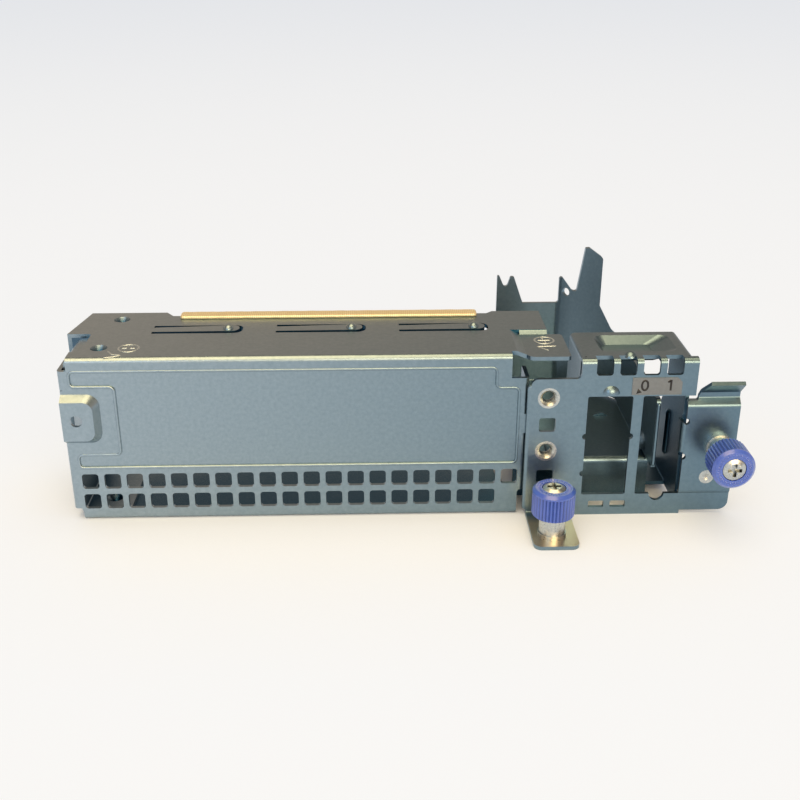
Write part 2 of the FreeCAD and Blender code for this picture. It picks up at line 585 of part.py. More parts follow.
def blank_panel():
    """Vented front, top and bottom flanges, boss, pressed field, spring fingers and corner tab."""
    thick, high, past = mm.sheet_thick, mm.panel_height, mm.cut_past
    fold = thick + mm.bend_inner
    far = mm.tab_right + past
    rear = max(mm.top_depth, mm.bottom_depth) + past
    panel = folded_strip(
        [V(0, mm.bottom_depth, 0), V(0, 0, 0), V(0, 0, high), V(0, mm.top_depth, high)],
        V(0, 0, 1), V(mm.top_right, 0, 0))

    cuts = [
        block((-past, mm.corner_inset), (-past, rear), (high - mm.corner_height, high + past)),
        block((-past, mm.corner_inset), (-past, rear), (-past, mm.corner_height)),
        block((mm.panel_width, far), (-past, rear), (-past, high - thick)),
        block((mm.notch_left, far), (-past, mm.notch_back), (mm.notch_low, high + past)),
        block((mm.bottom_right, far), (fold, rear), (-past, fold)),
        block((mm.tab_left - mm.tab_ramp, far), (-past, mm.tab_back), (high - thick, high + past)),
        plate(front_outline((mm.relief_left, far), (-past, mm.relief_high), -past), V(0, 2 * past + fold, 0),
              [0, 0, 0, 1.2]),
        plate(
            level_outline((-past, mm.end_notch_reach), (mm.end_notch_front, mm.end_notch_back), high - past),
            V(0, 0, 2 * past), [0, 0.8, 0.8, 0]),
    ]
    cuts.append(plate(
        [V(mm.rear_tongue, rear, high - past), V(mm.rear_tongue, mm.top_depth, high - past),
         V(mm.rear_tongue + 0.7 * mm.rear_cutback, mm.rear_cut, high - past),
         V(mm.rear_stop, mm.rear_cut, high - past),
         V(mm.rear_stop + mm.rear_step, mm.rear_cut + mm.rear_step, high - past),
         V(far, mm.rear_cut + mm.rear_step, high - past), V(far, rear, high - past)],
        V(0, 0, 2 * past)))

    flange_spans = (
        (mm.corner_height, mm.boss_low - 0.6), (mm.boss_high + 0.6, high - mm.corner_height))
    cuts += [block((-past, fold - mm.edge_out), (-past, fold), span) for span in flange_spans]
    return_spans = ((mm.relief_high, mm.lap_low - 0.6), (mm.lap_high + 0.6, mm.notch_low))
    cuts += [block((mm.panel_width - fold, far), (-past, fold), span) for span in return_spans]
    panel = panel.cut(cuts)

    adds = []
    for low, top in flange_spans:
        adds.append(folded_strip(
            [V(2 * fold, 0, low), V(-mm.edge_out, 0, low), V(-mm.edge_out, mm.left_flange, low)],
            V(0, 1, 0), V(0, 0, top - low)))
    for low, top in return_spans:
        adds.append(folded_strip(
            [V(mm.panel_width - 2 * fold, 0, low), V(mm.panel_width, 0, low),
             V(mm.panel_width, mm.right_flange, low)], V(0, 1, 0), V(0, 0, top - low)))
    adds.append(plate(
        front_outline((mm.panel_width - fold, mm.panel_width + mm.lap_reach), (mm.lap_low, mm.lap_high), 0),
        V(0, thick, 0), [0, 0.6, 0.6, 0]))
    adds.append(folded_strip(
        [V(mm.lip_left, mm.rear_cut - 3 * fold, high), V(mm.lip_left, mm.rear_cut, high),
         V(mm.lip_left, mm.rear_cut, high - mm.rear_lip)],
        V(0, 0, -1), V(mm.lip_right - mm.lip_left, 0, 0)))

    tab_level = high - mm.tab_drop
    tab = level_outline(
        (mm.tab_left, mm.tab_right), (mm.tab_front, mm.tab_back - mm.tab_drop), tab_level - thick)
    adds.append(plate(tab, V(0, 0, thick), [mm.tab_round, 1.0, 1.0, 0]))
    adds.append(folded_strip(
        [V(mm.tab_left, mm.tab_back + 2 * fold, high), V(mm.tab_left, mm.tab_back, high),
         V(mm.tab_left, mm.tab_back - mm.tab_drop, tab_level),
         V(mm.tab_left, mm.tab_back - mm.tab_drop - fold, tab_level)],
        V(0, 0, -1), V(mm.top_right - mm.tab_left, 0, 0)))
    adds.append(folded_strip(
        [V(mm.tab_left - mm.tab_ramp - 2 * fold, mm.notch_back, high),
         V(mm.tab_left - mm.tab_ramp, mm.notch_back, high), V(mm.tab_left, mm.notch_back, tab_level),
         V(mm.tab_left + 2 * fold, mm.notch_back, tab_level)],
        V(0, 0, -1), V(0, mm.tab_back - mm.notch_back, 0)))

    front, back = mm.end_notch_back, mm.top_depth
    outer = (mm.corner_inset - mm.flare_front, mm.corner_inset - mm.flare_back)
    adds.append(plate(
        [V(outer[0], front, high - thick), V(mm.end_notch_reach + past, front, high - thick),
         V(mm.end_notch_reach + past, back, high - thick), V(outer[1], back, high - thick)],
        V(0, 0, thick), [thick / 2, 0, 0, thick / 2]))
    adds.append(plate(
        [V(outer[0], front, high - mm.flare_height), V(outer[0] + thick, front, high - mm.flare_height),
         V(outer[1] + thick, back, high - mm.flare_height), V(outer[1], back, high - mm.flare_height)],
        V(0, 0, mm.flare_height)))

    field = [
        V(mm.field_left, 0, mm.field_high), V(mm.field_step_x, 0, mm.field_high),
        V(mm.field_step_x, 0, mm.field_step_z), V(mm.field_right, 0, mm.field_step_z),
        V(mm.field_right, 0, mm.field_low), V(mm.field_left, 0, mm.field_low),
        V(mm.field_left, 0, mm.field_bay_low), V(mm.field_bay_x, 0, mm.field_bay_low),
        V(mm.field_bay_x, 0, mm.field_bay_high), V(mm.field_left, 0, mm.field_bay_high)]
    adds.append(plate([p + V(0, thick / 2, 0) for p in field],
                      V(0, thick / 2 + mm.field_depth, 0), mm.field_round))
    adds.append(boss_shell(0, thick / 2, -mm.boss_height, 0))

    cuts = [plate([p + V(0, -past, 0) for p in field], V(0, past + mm.field_depth, 0), mm.field_round)]
    cuts.append(boss_shell(-past, thick + mm.field_depth, thick - mm.boss_height, -0.45 * thick))
    cuts.append(Part.makeCylinder(
        mm.boss_hole / 2, 2 * mm.boss_height + past, V(mm.boss_hole_x, thick, mm.boss_hole_z), V(0, -1, 0)))
    rows = ((mm.vent_end_upper, mm.vent_upper), (mm.vent_end_lower, mm.vent_upper - mm.vent_row_pitch))
    for end, z in rows:
        for i in range(int((mm.panel_width - end - mm.vent_first) / mm.vent_pitch) + 1):
            x = mm.vent_first + i * mm.vent_pitch
            cuts.append(front_hole(
                (x - mm.vent_side / 2, x + mm.vent_side / 2), (z - mm.vent_side / 2, z + mm.vent_side / 2),
                (-past, past), mm.vent_round))

    late = []
    last = mm.panel_width - mm.finger_end - mm.finger_length
    for i in range(int(mm.fingers)):
        share = i / (mm.fingers - 1)
        cutter, finger = spring_finger(mm.finger_first + share * (last - mm.finger_first))
        cuts.append(cutter)
        late.append(finger)
    cuts.append(Part.makeCylinder(
        mm.clinch_radius + mm.clinch_gap, 2 * past, V(mm.clinch_floor_x, mm.clinch_floor_y, -past)))
    for x, y in ((mm.clinch_front_x, mm.clinch_front_y), (mm.clinch_rear_x, mm.clinch_rear_y)):
        button, dish = clinch_point(x, y, high, mm.clinch_below)
        adds.append(button)
        cuts.append(dish)
    return panel.fuse(adds).cut(cuts).fuse(late)


def end_bracket():
    """Channel at the left end: wall, lap under the top flange and lap on the bottom flange."""
    thick = mm.sheet_thick
    left = thick
    low, high = thick, mm.panel_height - thick
    right = left + mm.end_lap
    run = V(0, mm.end_back - mm.end_front, 0)
    front = mm.end_front
    channel = folded_strip(
        [V(right, front, low), V(left, front, low), V(left, front, high), V(right, front, high)],
        V(0, 0, 1), run)
    holes = [
        Part.makeCylinder(mm.clinch_radius + mm.clinch_gap, 3 * thick, V(x, y, high - 2 * thick))
        for x, y in ((mm.clinch_front_x, mm.clinch_front_y), (mm.clinch_rear_x, mm.clinch_rear_y))]
    room = mm.corner_inset - mm.flare_back + thick + mm.end_room
    holes.append(block(
        (0, room), (mm.end_notch_back - mm.end_room, mm.end_back + thick),
        (high + thick - mm.flare_height - mm.end_room, high + thick)))
    button, dish = clinch_point(mm.clinch_floor_x, mm.clinch_floor_y, low + thick, 0)
    holes.append(dish)
    return channel.fuse(button).cut(holes)


def cage_pocket(grow, shift):
    """Tapered block of the pocket pressed into the cage top, for its upper or lower face."""
    top = mm.cage_top - shift
    lean, ramp = mm.pocket_lean, mm.pocket_ramp
    rim = level_outline(
        (mm.pocket_left - grow, mm.pocket_right + grow),
        (mm.pocket_front - grow, mm.pocket_back + grow), top)
    floor = level_outline(
        (mm.pocket_left - grow + lean, mm.pocket_right + grow - ramp),
        (mm.pocket_front - grow + lean, mm.pocket_back + grow - lean), top - mm.pocket_depth)
    wires = [outline(rim, mm.pocket_round), outline(floor, mm.pocket_round - lean / 2)]
    return Part.makeLoft(wires, True, True)


def cage_wing():
    """Wing at the right: plate with a crease, an offset and a lip flared forward at the top."""
    thick, past = mm.sheet_thick, mm.cut_past
    left = mm.wing_left
    front = -thick - mm.wing_proud
    width = mm.wing_right - left
    wing = folded_strip(
        [V(left, -thick, mm.wing_low), V(left, -thick, mm.wing_crease - mm.wing_proud),
         V(left, front, mm.wing_crease), V(left, front, mm.wing_offset_z),
         V(left, front + mm.wing_offset, mm.wing_offset_z + mm.wing_offset),
         V(left, front + mm.wing_offset, mm.lip_foot),
         V(left, front + mm.wing_offset - mm.lip_flare, mm.lip_high)],
        V(0, 1, 0), V(width, 0, 0), 0.4)
    keep = plate(
        [V(left, -past * 4, mm.wing_low), V(mm.wing_right, -past * 4, mm.wing_low),
         V(mm.wing_right, -past * 4, mm.lip_high + thick),
         V(mm.lip_left_end + mm.lip_slope, -past * 4, mm.lip_high + thick),
         V(mm.lip_left_end, -past * 4, mm.lip_foot - thick),
         V(mm.lip_left_end, -past * 4, mm.wing_offset_z + thick),
         V(left, -past * 4, mm.wing_offset_z + thick)],
        V(0, past * 8, 0), [0, mm.wing_round, 0, 0, thick, 0.6, 0.6])
    ahead = V(0, -1, 0)
    holes = [
        Part.makeCylinder(mm.spigot_radius, 2 * past, V(mm.wing_screw_x, past, mm.wing_screw_z), ahead),
        Part.makeCylinder(mm.pin_shank, 2 * past, V(mm.pin_x, past, mm.pin_z), ahead)]
    wing = wing.common(keep).cut(holes)
    catch = folded_strip(
        [V(left + 2 * past, front, mm.catch_low), V(left - thick, front, mm.catch_low),
         V(left - thick, front + mm.catch_depth, mm.catch_low)],
        V(0, 1, 0), V(0, 0, mm.catch_tall))
    return wing.fuse(catch)


def cage_bracket():
    """Pillar, windowed face, folded cage top with side walls, wing and foot."""
    thick, past = mm.sheet_thick, mm.cut_past
    fold = thick + mm.bend_inner
    top = mm.cage_top
    face_high = top - 2 * fold
    face = plate(
        [V(mm.pillar_left, -thick, 0), V(mm.pillar_left, -thick, mm.notch_low),
         V(mm.cage_left, -thick, mm.notch_low), V(mm.cage_left, -thick, face_high),
         V(mm.cage_right, -thick, face_high), V(mm.cage_right, -thick, 0)],
        V(0, thick, 0), [0, mm.pillar_round, mm.cage_fillet, 0, 0, 0])
    lid = folded_strip(
        [V(mm.cage_left, -thick, face_high - fold), V(mm.cage_left, -thick, top),
         V(mm.cage_left, mm.cage_depth, top)], V(0, 1, 0), V(mm.cage_right - mm.cage_left, 0, 0))
    walls = folded_strip(
        [V(mm.lap_left, mm.wall_front, mm.floor_top + thick),
         V(mm.cage_left, mm.wall_front, mm.floor_top + thick),
         V(mm.cage_left, mm.wall_front, top), V(mm.wall_right, mm.wall_front, top),
         V(mm.wall_right, mm.wall_front, mm.wall_foot)],
        V(0, 0, -1), V(0, mm.cage_depth - mm.wall_front, 0))
    rear = mm.wall_deep + past
    trims = ((mm.cage_left - past, mm.cage_left + fold), (mm.wall_right - fold, mm.cage_right + past))
    lid = lid.cut([block(x, (mm.wall_front - 0.4, rear), (face_high, top + past)) for x in trims])
    deep = plate(
        [V(mm.wall_right - thick, mm.cage_depth - past, mm.wall_foot),
         V(mm.wall_right - thick, mm.wall_deep, mm.wall_foot),
         V(mm.wall_right - thick, mm.wall_deep, mm.wall_deep_top),
         V(mm.wall_right - thick, mm.cage_depth, mm.wall_slope_top),
         V(mm.wall_right - thick, mm.cage_depth - past, mm.wall_slope_top)],
        V(thick, 0, 0), [0, 1.5, 1.5, 0, 0])
    lip_front = mm.tray_front + thick + mm.wall_lip_gap
    lip = folded_strip(
        [V(mm.wall_right, lip_front, mm.wall_foot + 2 * fold), V(mm.wall_right, lip_front, mm.wall_foot),
         V(mm.wall_right - mm.wall_lip, lip_front, mm.wall_foot)],
        V(-1, 0, 0), V(0, mm.wall_deep - lip_front, 0))
    folded_edge = block(
        (mm.wall_right - thick - past, mm.wall_right + past), (lip_front, rear),
        (mm.wall_foot - past, mm.wall_foot + 2 * fold))
    walls = walls.cut(folded_edge)
    deep = deep.cut(folded_edge)
    spot = V(mm.wall_right - thick / 2, mm.bead_y, mm.wall_foot + mm.bead_lift)
    bead = Part.makeCylinder(mm.bead_radius, mm.bead_length, spot)
    ends = (spot, spot + V(0, 0, mm.bead_length))
    bead = bead.fuse([Part.makeSphere(mm.bead_radius, end) for end in ends])
    bead = bead.common(block((spot.x - 2 * mm.bead_radius, spot.x), (0, rear), (0, top)))

    foot = folded_strip(
        [V(mm.foot_left, 0, 6 * fold), V(mm.foot_left, 0, 0), V(mm.foot_left, -mm.foot_reach, 0)],
        V(0, -1, 0), V(mm.foot_right - mm.foot_left, 0, 0))
    corners = [
        edge for edge in foot.Edges
        if abs(edge.Length - thick) < 1e-6 and abs(edge.BoundBox.YMax + mm.foot_reach) < 1e-6
        and edge.BoundBox.ZLength > thick / 2]
    foot = foot.makeFillet(mm.foot_round, corners)
    foot = foot.cut(Part.makeCylinder(
        mm.spigot_radius, 2 * past, V(mm.foot_screw_x, mm.foot_screw_y, -past)))

    span = (-thick - past, past)
    face = face.cut([
        block((mm.pillar_left - past, mm.foot_right), span, (-past, 2 * fold)),
        block((mm.foot_right, mm.foot_right + 1.1), span, (-past, 0.9)),
        front_hole(
            (mm.window_first, mm.window_first + mm.window_width), (mm.window_low, mm.window_high), span,
            mm.window_round),
        front_hole(
            (mm.window_second, mm.cage_right + past), (mm.window_low, mm.window_high), span,
            mm.window_round),
        block((mm.cage_right - 1.0, mm.cage_right + past), span, (-past, mm.wing_low))])

    adds = [lid, walls, deep, lip, bead, foot, cage_wing()]
    adds.append(cage_pocket(0.45 * thick, thick).common(
        block((mm.cage_left + fold, mm.wall_right - fold), (0, mm.cage_depth), (0, top - thick / 2))))
    cuts = [cage_pocket(0, 0)]
    for i in range(int(mm.fold_notches)):
        x = mm.fold_notch_first + i * mm.fold_notch_pitch
        cuts.append(front_hole(
            (x, x + mm.fold_notch_width), (mm.fold_notch_low, top + 2 * past),
            (-thick - past, mm.fold_notch_back), mm.fold_notch_round))
    for i in range(2):
        x = mm.slot_first + i * mm.slot_pitch
        cuts.append(front_hole(
            (x, x + mm.slot_width), (mm.slot_z - mm.slot_height / 2, mm.slot_z + mm.slot_height / 2), span,
            0.2 * mm.slot_height))
    nicks = (
        (mm.window_first, mm.edge_notch_high), (mm.window_first, mm.edge_notch_low),
        (mm.window_first + mm.window_width, mm.edge_notch_high),
        (mm.wing_left, mm.catch_low - 1.5 * mm.edge_notch),
        (mm.wing_left, mm.catch_low + mm.catch_tall + mm.edge_notch / 2))
    for x, z in nicks:
        cuts.append(Part.makeCylinder(mm.edge_notch, 2 * past, V(x, past, z), V(0, -1, 0)))
    scoop = V(mm.scoop_x, past, mm.window_low)
    cuts.append(Part.makeCylinder(mm.scoop_radius, 2 * past, scoop, V(0, -1, 0)))
    for i in range(4):
        z = mm.pillar_hole_top - i * mm.pillar_hole_pitch
        if i % 2 == 0:
            cuts.append(Part.makeCylinder(mm.nut_shank, 2 * past, V(mm.pillar_line, past, z), V(0, -1, 0)))
        else:
            cuts.append(front_hole(
                (mm.pillar_line - mm.square_width / 2, mm.pillar_line + mm.square_width / 2),
                (z - mm.square_height / 2, z + mm.square_height / 2), span, 0.6))
    pip = half_dome(
        V(mm.pip_x, -thick, mm.window_high + mm.pip_lift), V(0, -1, 0), V(0, 0, -1),
        mm.pip_radius, mm.pip_rise)
    crown = half_dome(
        V(mm.crown_x, mm.crown_y, top), V(0, 0, 1), V(0, 1, 0), mm.crown_radius, mm.crown_rise)
    return face.fuse(adds).cut(cuts).fuse([pip, crown])


def slanted_wall():
    """Rear wall of the tray, bent softly into the slanted wall and that into the side wall."""
    corner, back = mm.rear_corner, mm.tray_back
    inner = mm.tray_right - mm.sheet_thick
    past = mm.cut_past
    low = mm.floor_top + mm.slant_gap
    path = [
        V(mm.prong_right - mm.rear_lap, back, low), V(corner, back, low),
        V(inner, back - (inner - corner), low), V(inner, mm.side_front, low)]
    wall = folded_strip(path, V(0, 1, 0), V(0, 0, mm.blade_top), mm.rear_bend)
    edge = [
        (mm.prong_right - mm.rear_lap, low), (mm.prong_right - mm.rear_lap, mm.rear_high),
        (corner, mm.rear_high),
        (corner, mm.ear_top - 0.8), (corner + 0.6, mm.ear_top), (corner + mm.blade_back, mm.blade_notch),
        (corner + mm.blade_back + mm.blade_lean, mm.blade_top - 0.4),
        (corner + mm.blade_back + mm.blade_lean + 0.9, mm.blade_top),
        (corner + mm.blade_front, mm.blade_top - mm.blade_fall),
        (corner + mm.blade_front, mm.blade_notch - mm.blade_heel),
        (corner + mm.shoulder_x, mm.shoulder_z), (inner, mm.side_top),
        (mm.tray_right + past, mm.side_top), (mm.tray_right + past, low)]
    keep = plate(
        [V(x, mm.side_front - past, z) for x, z in edge], V(0, back - mm.side_front + 2 * past, 0),
        [0, 1.0, 0.8, 0, 0.5, 0.8, 0.4, 0.5, mm.blade_round, 0.8, 1.0, 0, 0, 0])
    through = V(1, 1, 0).normalize()
    middle = V(corner + mm.ear_hole_x, back - mm.ear_hole_x, mm.blade_notch + mm.ear_hole_lift)
    hole = Part.makeCylinder(
        mm.ear_hole / 2, 3 * past, middle - through * past, through)
    wall = wall.common(keep).cut(hole)
    lance = half_dome(
        V(inner, mm.ear_lance_y, mm.floor_top + mm.ear_lance_lift), V(-1, 0, 0), V(0, 0, -1),
        mm.ear_lance_radius, mm.ear_lance_rise)
    rounds = [
        edge for edge in wall.Edges
        if edge.BoundBox.YMax < mm.side_front + 1e-6 and edge.BoundBox.ZMin > mm.side_top - 1e-6]
    return wall.makeFillet(mm.side_round, rounds).fuse(lance)


def guide_tray():
    """Tray behind the windows: floor, front flange, rear, slanted and side wall, and prong tab."""
    thick, past = mm.sheet_thick, mm.cut_past
    fold = thick + mm.bend_inner
    width = mm.tray_right - mm.tray_left
    top = mm.floor_top
    back = mm.tray_back
    floor = folded_strip(
        [V(mm.tray_left, mm.tray_front, 0), V(mm.tray_left, mm.tray_front, top),
         V(mm.tray_left, back / 2, top)], V(0, 1, 0), V(width, 0, 0))
    trim = mm.tray_right - mm.rear_corner
    under = top - thick
    bed = plate(
        [V(mm.tray_left, back / 3, under), V(mm.tray_right, back / 3, under),
         V(mm.tray_right, back - trim + thick, under), V(mm.rear_corner + thick, back, under),
         V(mm.tray_left, back, under)], V(0, 0, thick))
    heel_left = mm.prong_right + 1.0
    heel = folded_strip(
        [V(heel_left, back - 3 * fold, under), V(heel_left, back + thick, under),
         V(heel_left, back + thick, top + 2 * fold)],
        V(0, 0, 1), V(mm.rear_corner - mm.prong_right - 3.0, 0, 0))
    bed = bed.cut(block(
        (mm.tray_left - past, mm.rear_corner - 2.0), (back - mm.bend_inner, back + past), (0, top + past)))
    side_fold = folded_strip(
        [V(mm.tray_right - 3 * fold, mm.side_fold_front, under), V(mm.tray_right, mm.side_fold_front, under),
         V(mm.tray_right, mm.side_fold_front, top + 2 * fold)],
        V(0, 0, 1), V(0, mm.side_fold_length, 0))
    floor = floor.fuse(bed).cut(block(
        (mm.tray_right - fold, mm.tray_right + past),
        (mm.side_fold_front, mm.side_fold_front + mm.side_fold_length), (0, top + past)))

    prong = folded_strip(
        [V(mm.tray_left, mm.prong_y - 4 * fold, top), V(mm.tray_left, mm.prong_y, top),
         V(mm.tray_left, mm.prong_y, mm.prong_top + past)],
        V(0, 0, -1), V(mm.prong_right - mm.tray_left, 0, 0))
    tip = mm.tray_left + mm.prong_width
    keep = plate(
        [V(mm.tray_left, 0, 0), V(mm.tray_left, 0, mm.prong_top), V(mm.tray_left + 0.6, 0, mm.prong_top),
         V(mm.tray_left + 0.5 * mm.prong_width, 0, mm.prong_top - mm.prong_cleft),
         V(tip - 1.2, 0, mm.prong_top - 0.3), V(tip - 0.2, 0, mm.prong_top - 0.3),
         V(mm.prong_right, 0, mm.prong_top - mm.prong_taper), V(mm.prong_right, 0, 0)],
        V(0, 2 * back, 0), [0, 0.25, 0.25, 0.7, 0.4, 0.4, 1.0, 0])
    floor = floor.cut(block(
        (mm.tray_left - past, mm.prong_right + 1.0), (mm.prong_y - fold, back + past), (0, top + past)))
    lance = half_dome(
        V(mm.lance_x, mm.lance_y, top), V(0, 0, 1), V(0, -1, 0), mm.lance_radius, mm.lance_rise)
    return floor.fuse([heel, side_fold, slanted_wall(), prong.common(keep), lance])


sheet_piece("blank_panel", blank_panel())
sheet_piece("end_bracket", end_bracket())
sheet_piece("cage_bracket", cage_bracket())
sheet_piece("guide_tray", guide_tray())


def drawn_sketch(body, plane, name, points):
    """Sketch of a closed outline on one of the body's own planes, each corner bound to the sheet."""
    sketch = body.newObject("Sketcher::SketchObject", name)
    support = [item for item in body.Origin.OriginFeatures if item.Role == plane][0]
    sketch.AttachmentSupport = [(support, "")]
    sketch.MapMode = "FlatFace"
    spots = [V(number(x), number(y), 0) for x, y in points]
    for i, spot in enumerate(spots):
        sketch.addGeometry(Part.LineSegment(spot, spots[(i + 1) % len(spots)]), False)
    for i in range(len(spots)):
        sketch.addConstraint(Sketcher.Constraint("Coincident", i, 2, (i + 1) % len(spots), 1))
    for i, point in enumerate(points):
        for kind, axis, length in (("DistanceX", -2, point[0]), ("DistanceY", -1, point[1])):
            if number(length) == 0:
                sketch.addConstraint(Sketcher.Constraint("PointOnObject", i, 1, axis))
                continue
            index = sketch.addConstraint(Sketcher.Constraint(kind, -1, 1, i, 1, number(length)))
            if isinstance(length, Bound):
                sketch.setExpression(f"Constraints[{index}]", length.text)
    return sketch


def new_body(name):
    """Empty body whose label is the name of its sub-part."""
    body = doc.addObject("PartDesign::Body", name)
    body.Label = name
    subparts.append(body)
    return body


def turned_body(name, points):
    """Body turned about its own Z axis from a closed outline of (radius, height) corners."""
    body = new_body(name)
    sketch = drawn_sketch(body, "XZ_Plane", f"{name}_outline", points)
    turn = body.newObject("PartDesign::Revolution", f"{name}_turn")
    turn.Profile = sketch
    turn.ReferenceAxis = (sketch, ["V_Axis"])
    turn.Angle = 360
    body.Tip = turn
    return body


def place(piece, x, y, z, rotation):
    """Set a piece's position in the part's frame, bound to the sheet, and its rotation."""
    piece.Placement = FreeCAD.Placement(V(number(x), number(y), number(z)), rotation)
    for axis, length in (("x", x), ("y", y), ("z", z)):
        if isinstance(length, Bound):
            piece.setExpression(f"Placement.Base.{axis}", length.text)


def captive_screw(prefix, x, y, z, rotation):
    """Ferrule, spring, knob and screw of one captive thumbscrew.

    Local Z is the screw's axis pointing outwards, local zero is the far face of the sheet.
    """
    base = ex.sheet_thick
    web_low = base + ex.ferrule_web_lift
    web_top = web_low + ex.ferrule_web
    ferrule_top = base + ex.ferrule_height
    ferrule = turned_body(f"{prefix}_ferrule", [
        (ex.thread_radius + ex.thread_room, 0), (ex.spigot_radius, 0), (ex.spigot_radius, base),
        (ex.collar_radius, base), (ex.collar_radius, base + ex.collar_height),
        (ex.ferrule_radius, base + ex.collar_height), (ex.ferrule_radius, ferrule_top),
        (ex.spring_bore, ferrule_top), (ex.spring_bore, web_top),
        (ex.neck_radius + ex.neck_room, web_top), (ex.neck_radius + ex.neck_room, web_low),
        (ex.thread_radius + ex.thread_room, web_low)])
    place(ferrule, x, y, z, rotation)

    low = ferrule_top - ex.knob_lap
    ceiling = ferrule_top + ex.travel + ex.travel_room
    high = ceiling + ex.knob_web + ex.head_recess
    inside = ex.ferrule_radius + ex.knob_room
    knob = turned_body(f"{prefix}_knob", [
        (inside, low), (ex.knob_radius - ex.rib_depth, low), (ex.knob_radius, low + ex.rib_depth),
        (ex.knob_radius, high - ex.knob_rim), (ex.knob_radius - ex.knob_rim, high),
        (ex.head_radius + ex.head_room, high), (ex.head_radius + ex.head_room, high - ex.head_recess),
        (ex.neck_radius, high - ex.head_recess), (ex.neck_radius, ceiling), (inside, ceiling)])
    groove_sketch = drawn_sketch(knob, "XY_Plane", f"{prefix}_knob_groove", [
        (ex.knob_radius - ex.rib_depth, 0), (ex.knob_radius + ex.rib_depth / 2, ex.rib_width),
        (ex.knob_radius + ex.rib_depth / 2, -ex.rib_width)])
    groove = knob.newObject("PartDesign::Pocket", f"{prefix}_knob_rib")
    groove.Profile = groove_sketch
    groove.Reversed = True
    groove.setExpression("Length", (high - ex.knob_rim - ex.knob_band).text)
    ribs = knob.newObject("PartDesign::PolarPattern", f"{prefix}_knob_ribs")
    ribs.Originals = [groove]
    ribs.Axis = (groove_sketch, ["N_Axis"])
    ribs.Angle = 360
    ribs.setExpression("Occurrences", ex.rib_count.text)
    knob.Tip = ribs
    place(knob, x, y, z, rotation)

    shoulder = web_low - ex.shoulder_gap
    tip = ex.tip_inset
    seat = high - ex.head_recess
    head_top = seat + ex.head_height
    screw = turned_body(f"{prefix}_screw", [
        (0, tip), (ex.thread_radius - ex.head_edge, tip), (ex.thread_radius, tip + ex.head_edge),
        (ex.thread_radius, shoulder), (ex.neck_radius, shoulder), (ex.neck_radius, seat),
        (ex.head_radius, seat), (ex.head_radius, head_top - ex.head_edge),
        (ex.head_radius - ex.head_edge * 2, head_top), (0, head_top)])
    arm, half = ex.cross_length / 2, ex.cross_width / 2
    cross_sketch = drawn_sketch(screw, "XY_Plane", f"{prefix}_screw_cross", [
        (arm, -half), (arm, half), (half, half), (half, arm), (-half, arm), (-half, half),
        (-arm, half), (-arm, -half), (-half, -half), (-half, -arm), (half, -arm), (half, -half)])
    cross_sketch.setExpression("AttachmentOffset.Base.z", head_top.text)
    cross = screw.newObject("PartDesign::Pocket", f"{prefix}_screw_recess")
    cross.Profile = cross_sketch
    cross.setExpression("Length", ex.cross_depth.text)
    screw.Tip = cross
    place(screw, x, y, z, rotation)

    coil_low = number(web_top) + mm.wire_radius + mm.spring_seat
    coil_length = number(ceiling) - mm.wire_radius - mm.spring_seat - coil_low
    steps = int(mm.spring_turns * mm.spring_steps)
    turns = [2 * math.pi * i / mm.spring_steps for i in range(steps + 1)]
    spine = [
        V(mm.spring_mean * math.cos(a), mm.spring_mean * math.sin(a), coil_low + coil_length * i / steps)
        for i, a in enumerate(turns)]
    start = FreeCAD.Placement(spine[0], FreeCAD.Rotation(V(0, 0, 1), spine[1] - spine[0]))
    ring = [
        start.multVec(V(mm.wire_radius * math.cos(a), mm.wire_radius * math.sin(a), 0))
        for a in [i * math.pi / 3 for i in range(7)]]
    spring = doc.addObject("Part::Feature", f"{prefix}_spring")
    spring.Label = f"{prefix}_spring"
    spring.Shape = Part.makePolygon(spine).makePipeShell([Part.makePolygon(ring)], True, False, 1)
    place(spring, x, y, z, rotation)
    subparts.append(spring)


UPRIGHT = FreeCAD.Rotation()
FORWARD = FreeCAD.Rotation(V(1, 0, 0), 90)
captive_screw("foot", 0, 0, 0, UPRIGHT)
captive_screw(
    "wing", ex.wing_screw_x - ex.foot_screw_x, -ex.wing_proud - ex.foot_screw_y, ex.wing_screw_z, FORWARD)

for name, step in (("upper_clinch_nut", 0), ("lower_clinch_nut", 2)):
    mouth = ex.sheet_thick
    nut = turned_body(name, [
        (ex.nut_bore, 0), (ex.nut_body, 0), (ex.nut_body, ex.nut_height), (ex.nut_shank, ex.nut_height),
        (ex.nut_shank, ex.nut_height + mouth), (ex.nut_bore + ex.nut_lead, ex.nut_height + mouth),
        (ex.nut_bore, ex.nut_height + mouth - ex.nut_lead)])
    place(nut, ex.pillar_line - ex.foot_screw_x, ex.nut_height - ex.foot_screw_y,
          ex.pillar_hole_top - ex.pillar_hole_pitch * step, FORWARD)

flush = ex.pin_length + ex.sheet_thick
pin = turned_body("locating_pin", [
    (0, 0), (ex.pin_radius - ex.pin_point, 0), (ex.pin_radius, ex.pin_point), (ex.pin_radius, ex.pin_length),
    (ex.pin_shank, ex.pin_length), (ex.pin_shank, flush), (ex.pin_shank / 2, flush),
    (0, flush - ex.pin_dimple)])
place(pin, ex.pin_x - ex.foot_screw_x, ex.pin_length - ex.wing_proud - ex.foot_screw_y, ex.pin_z, FORWARD)

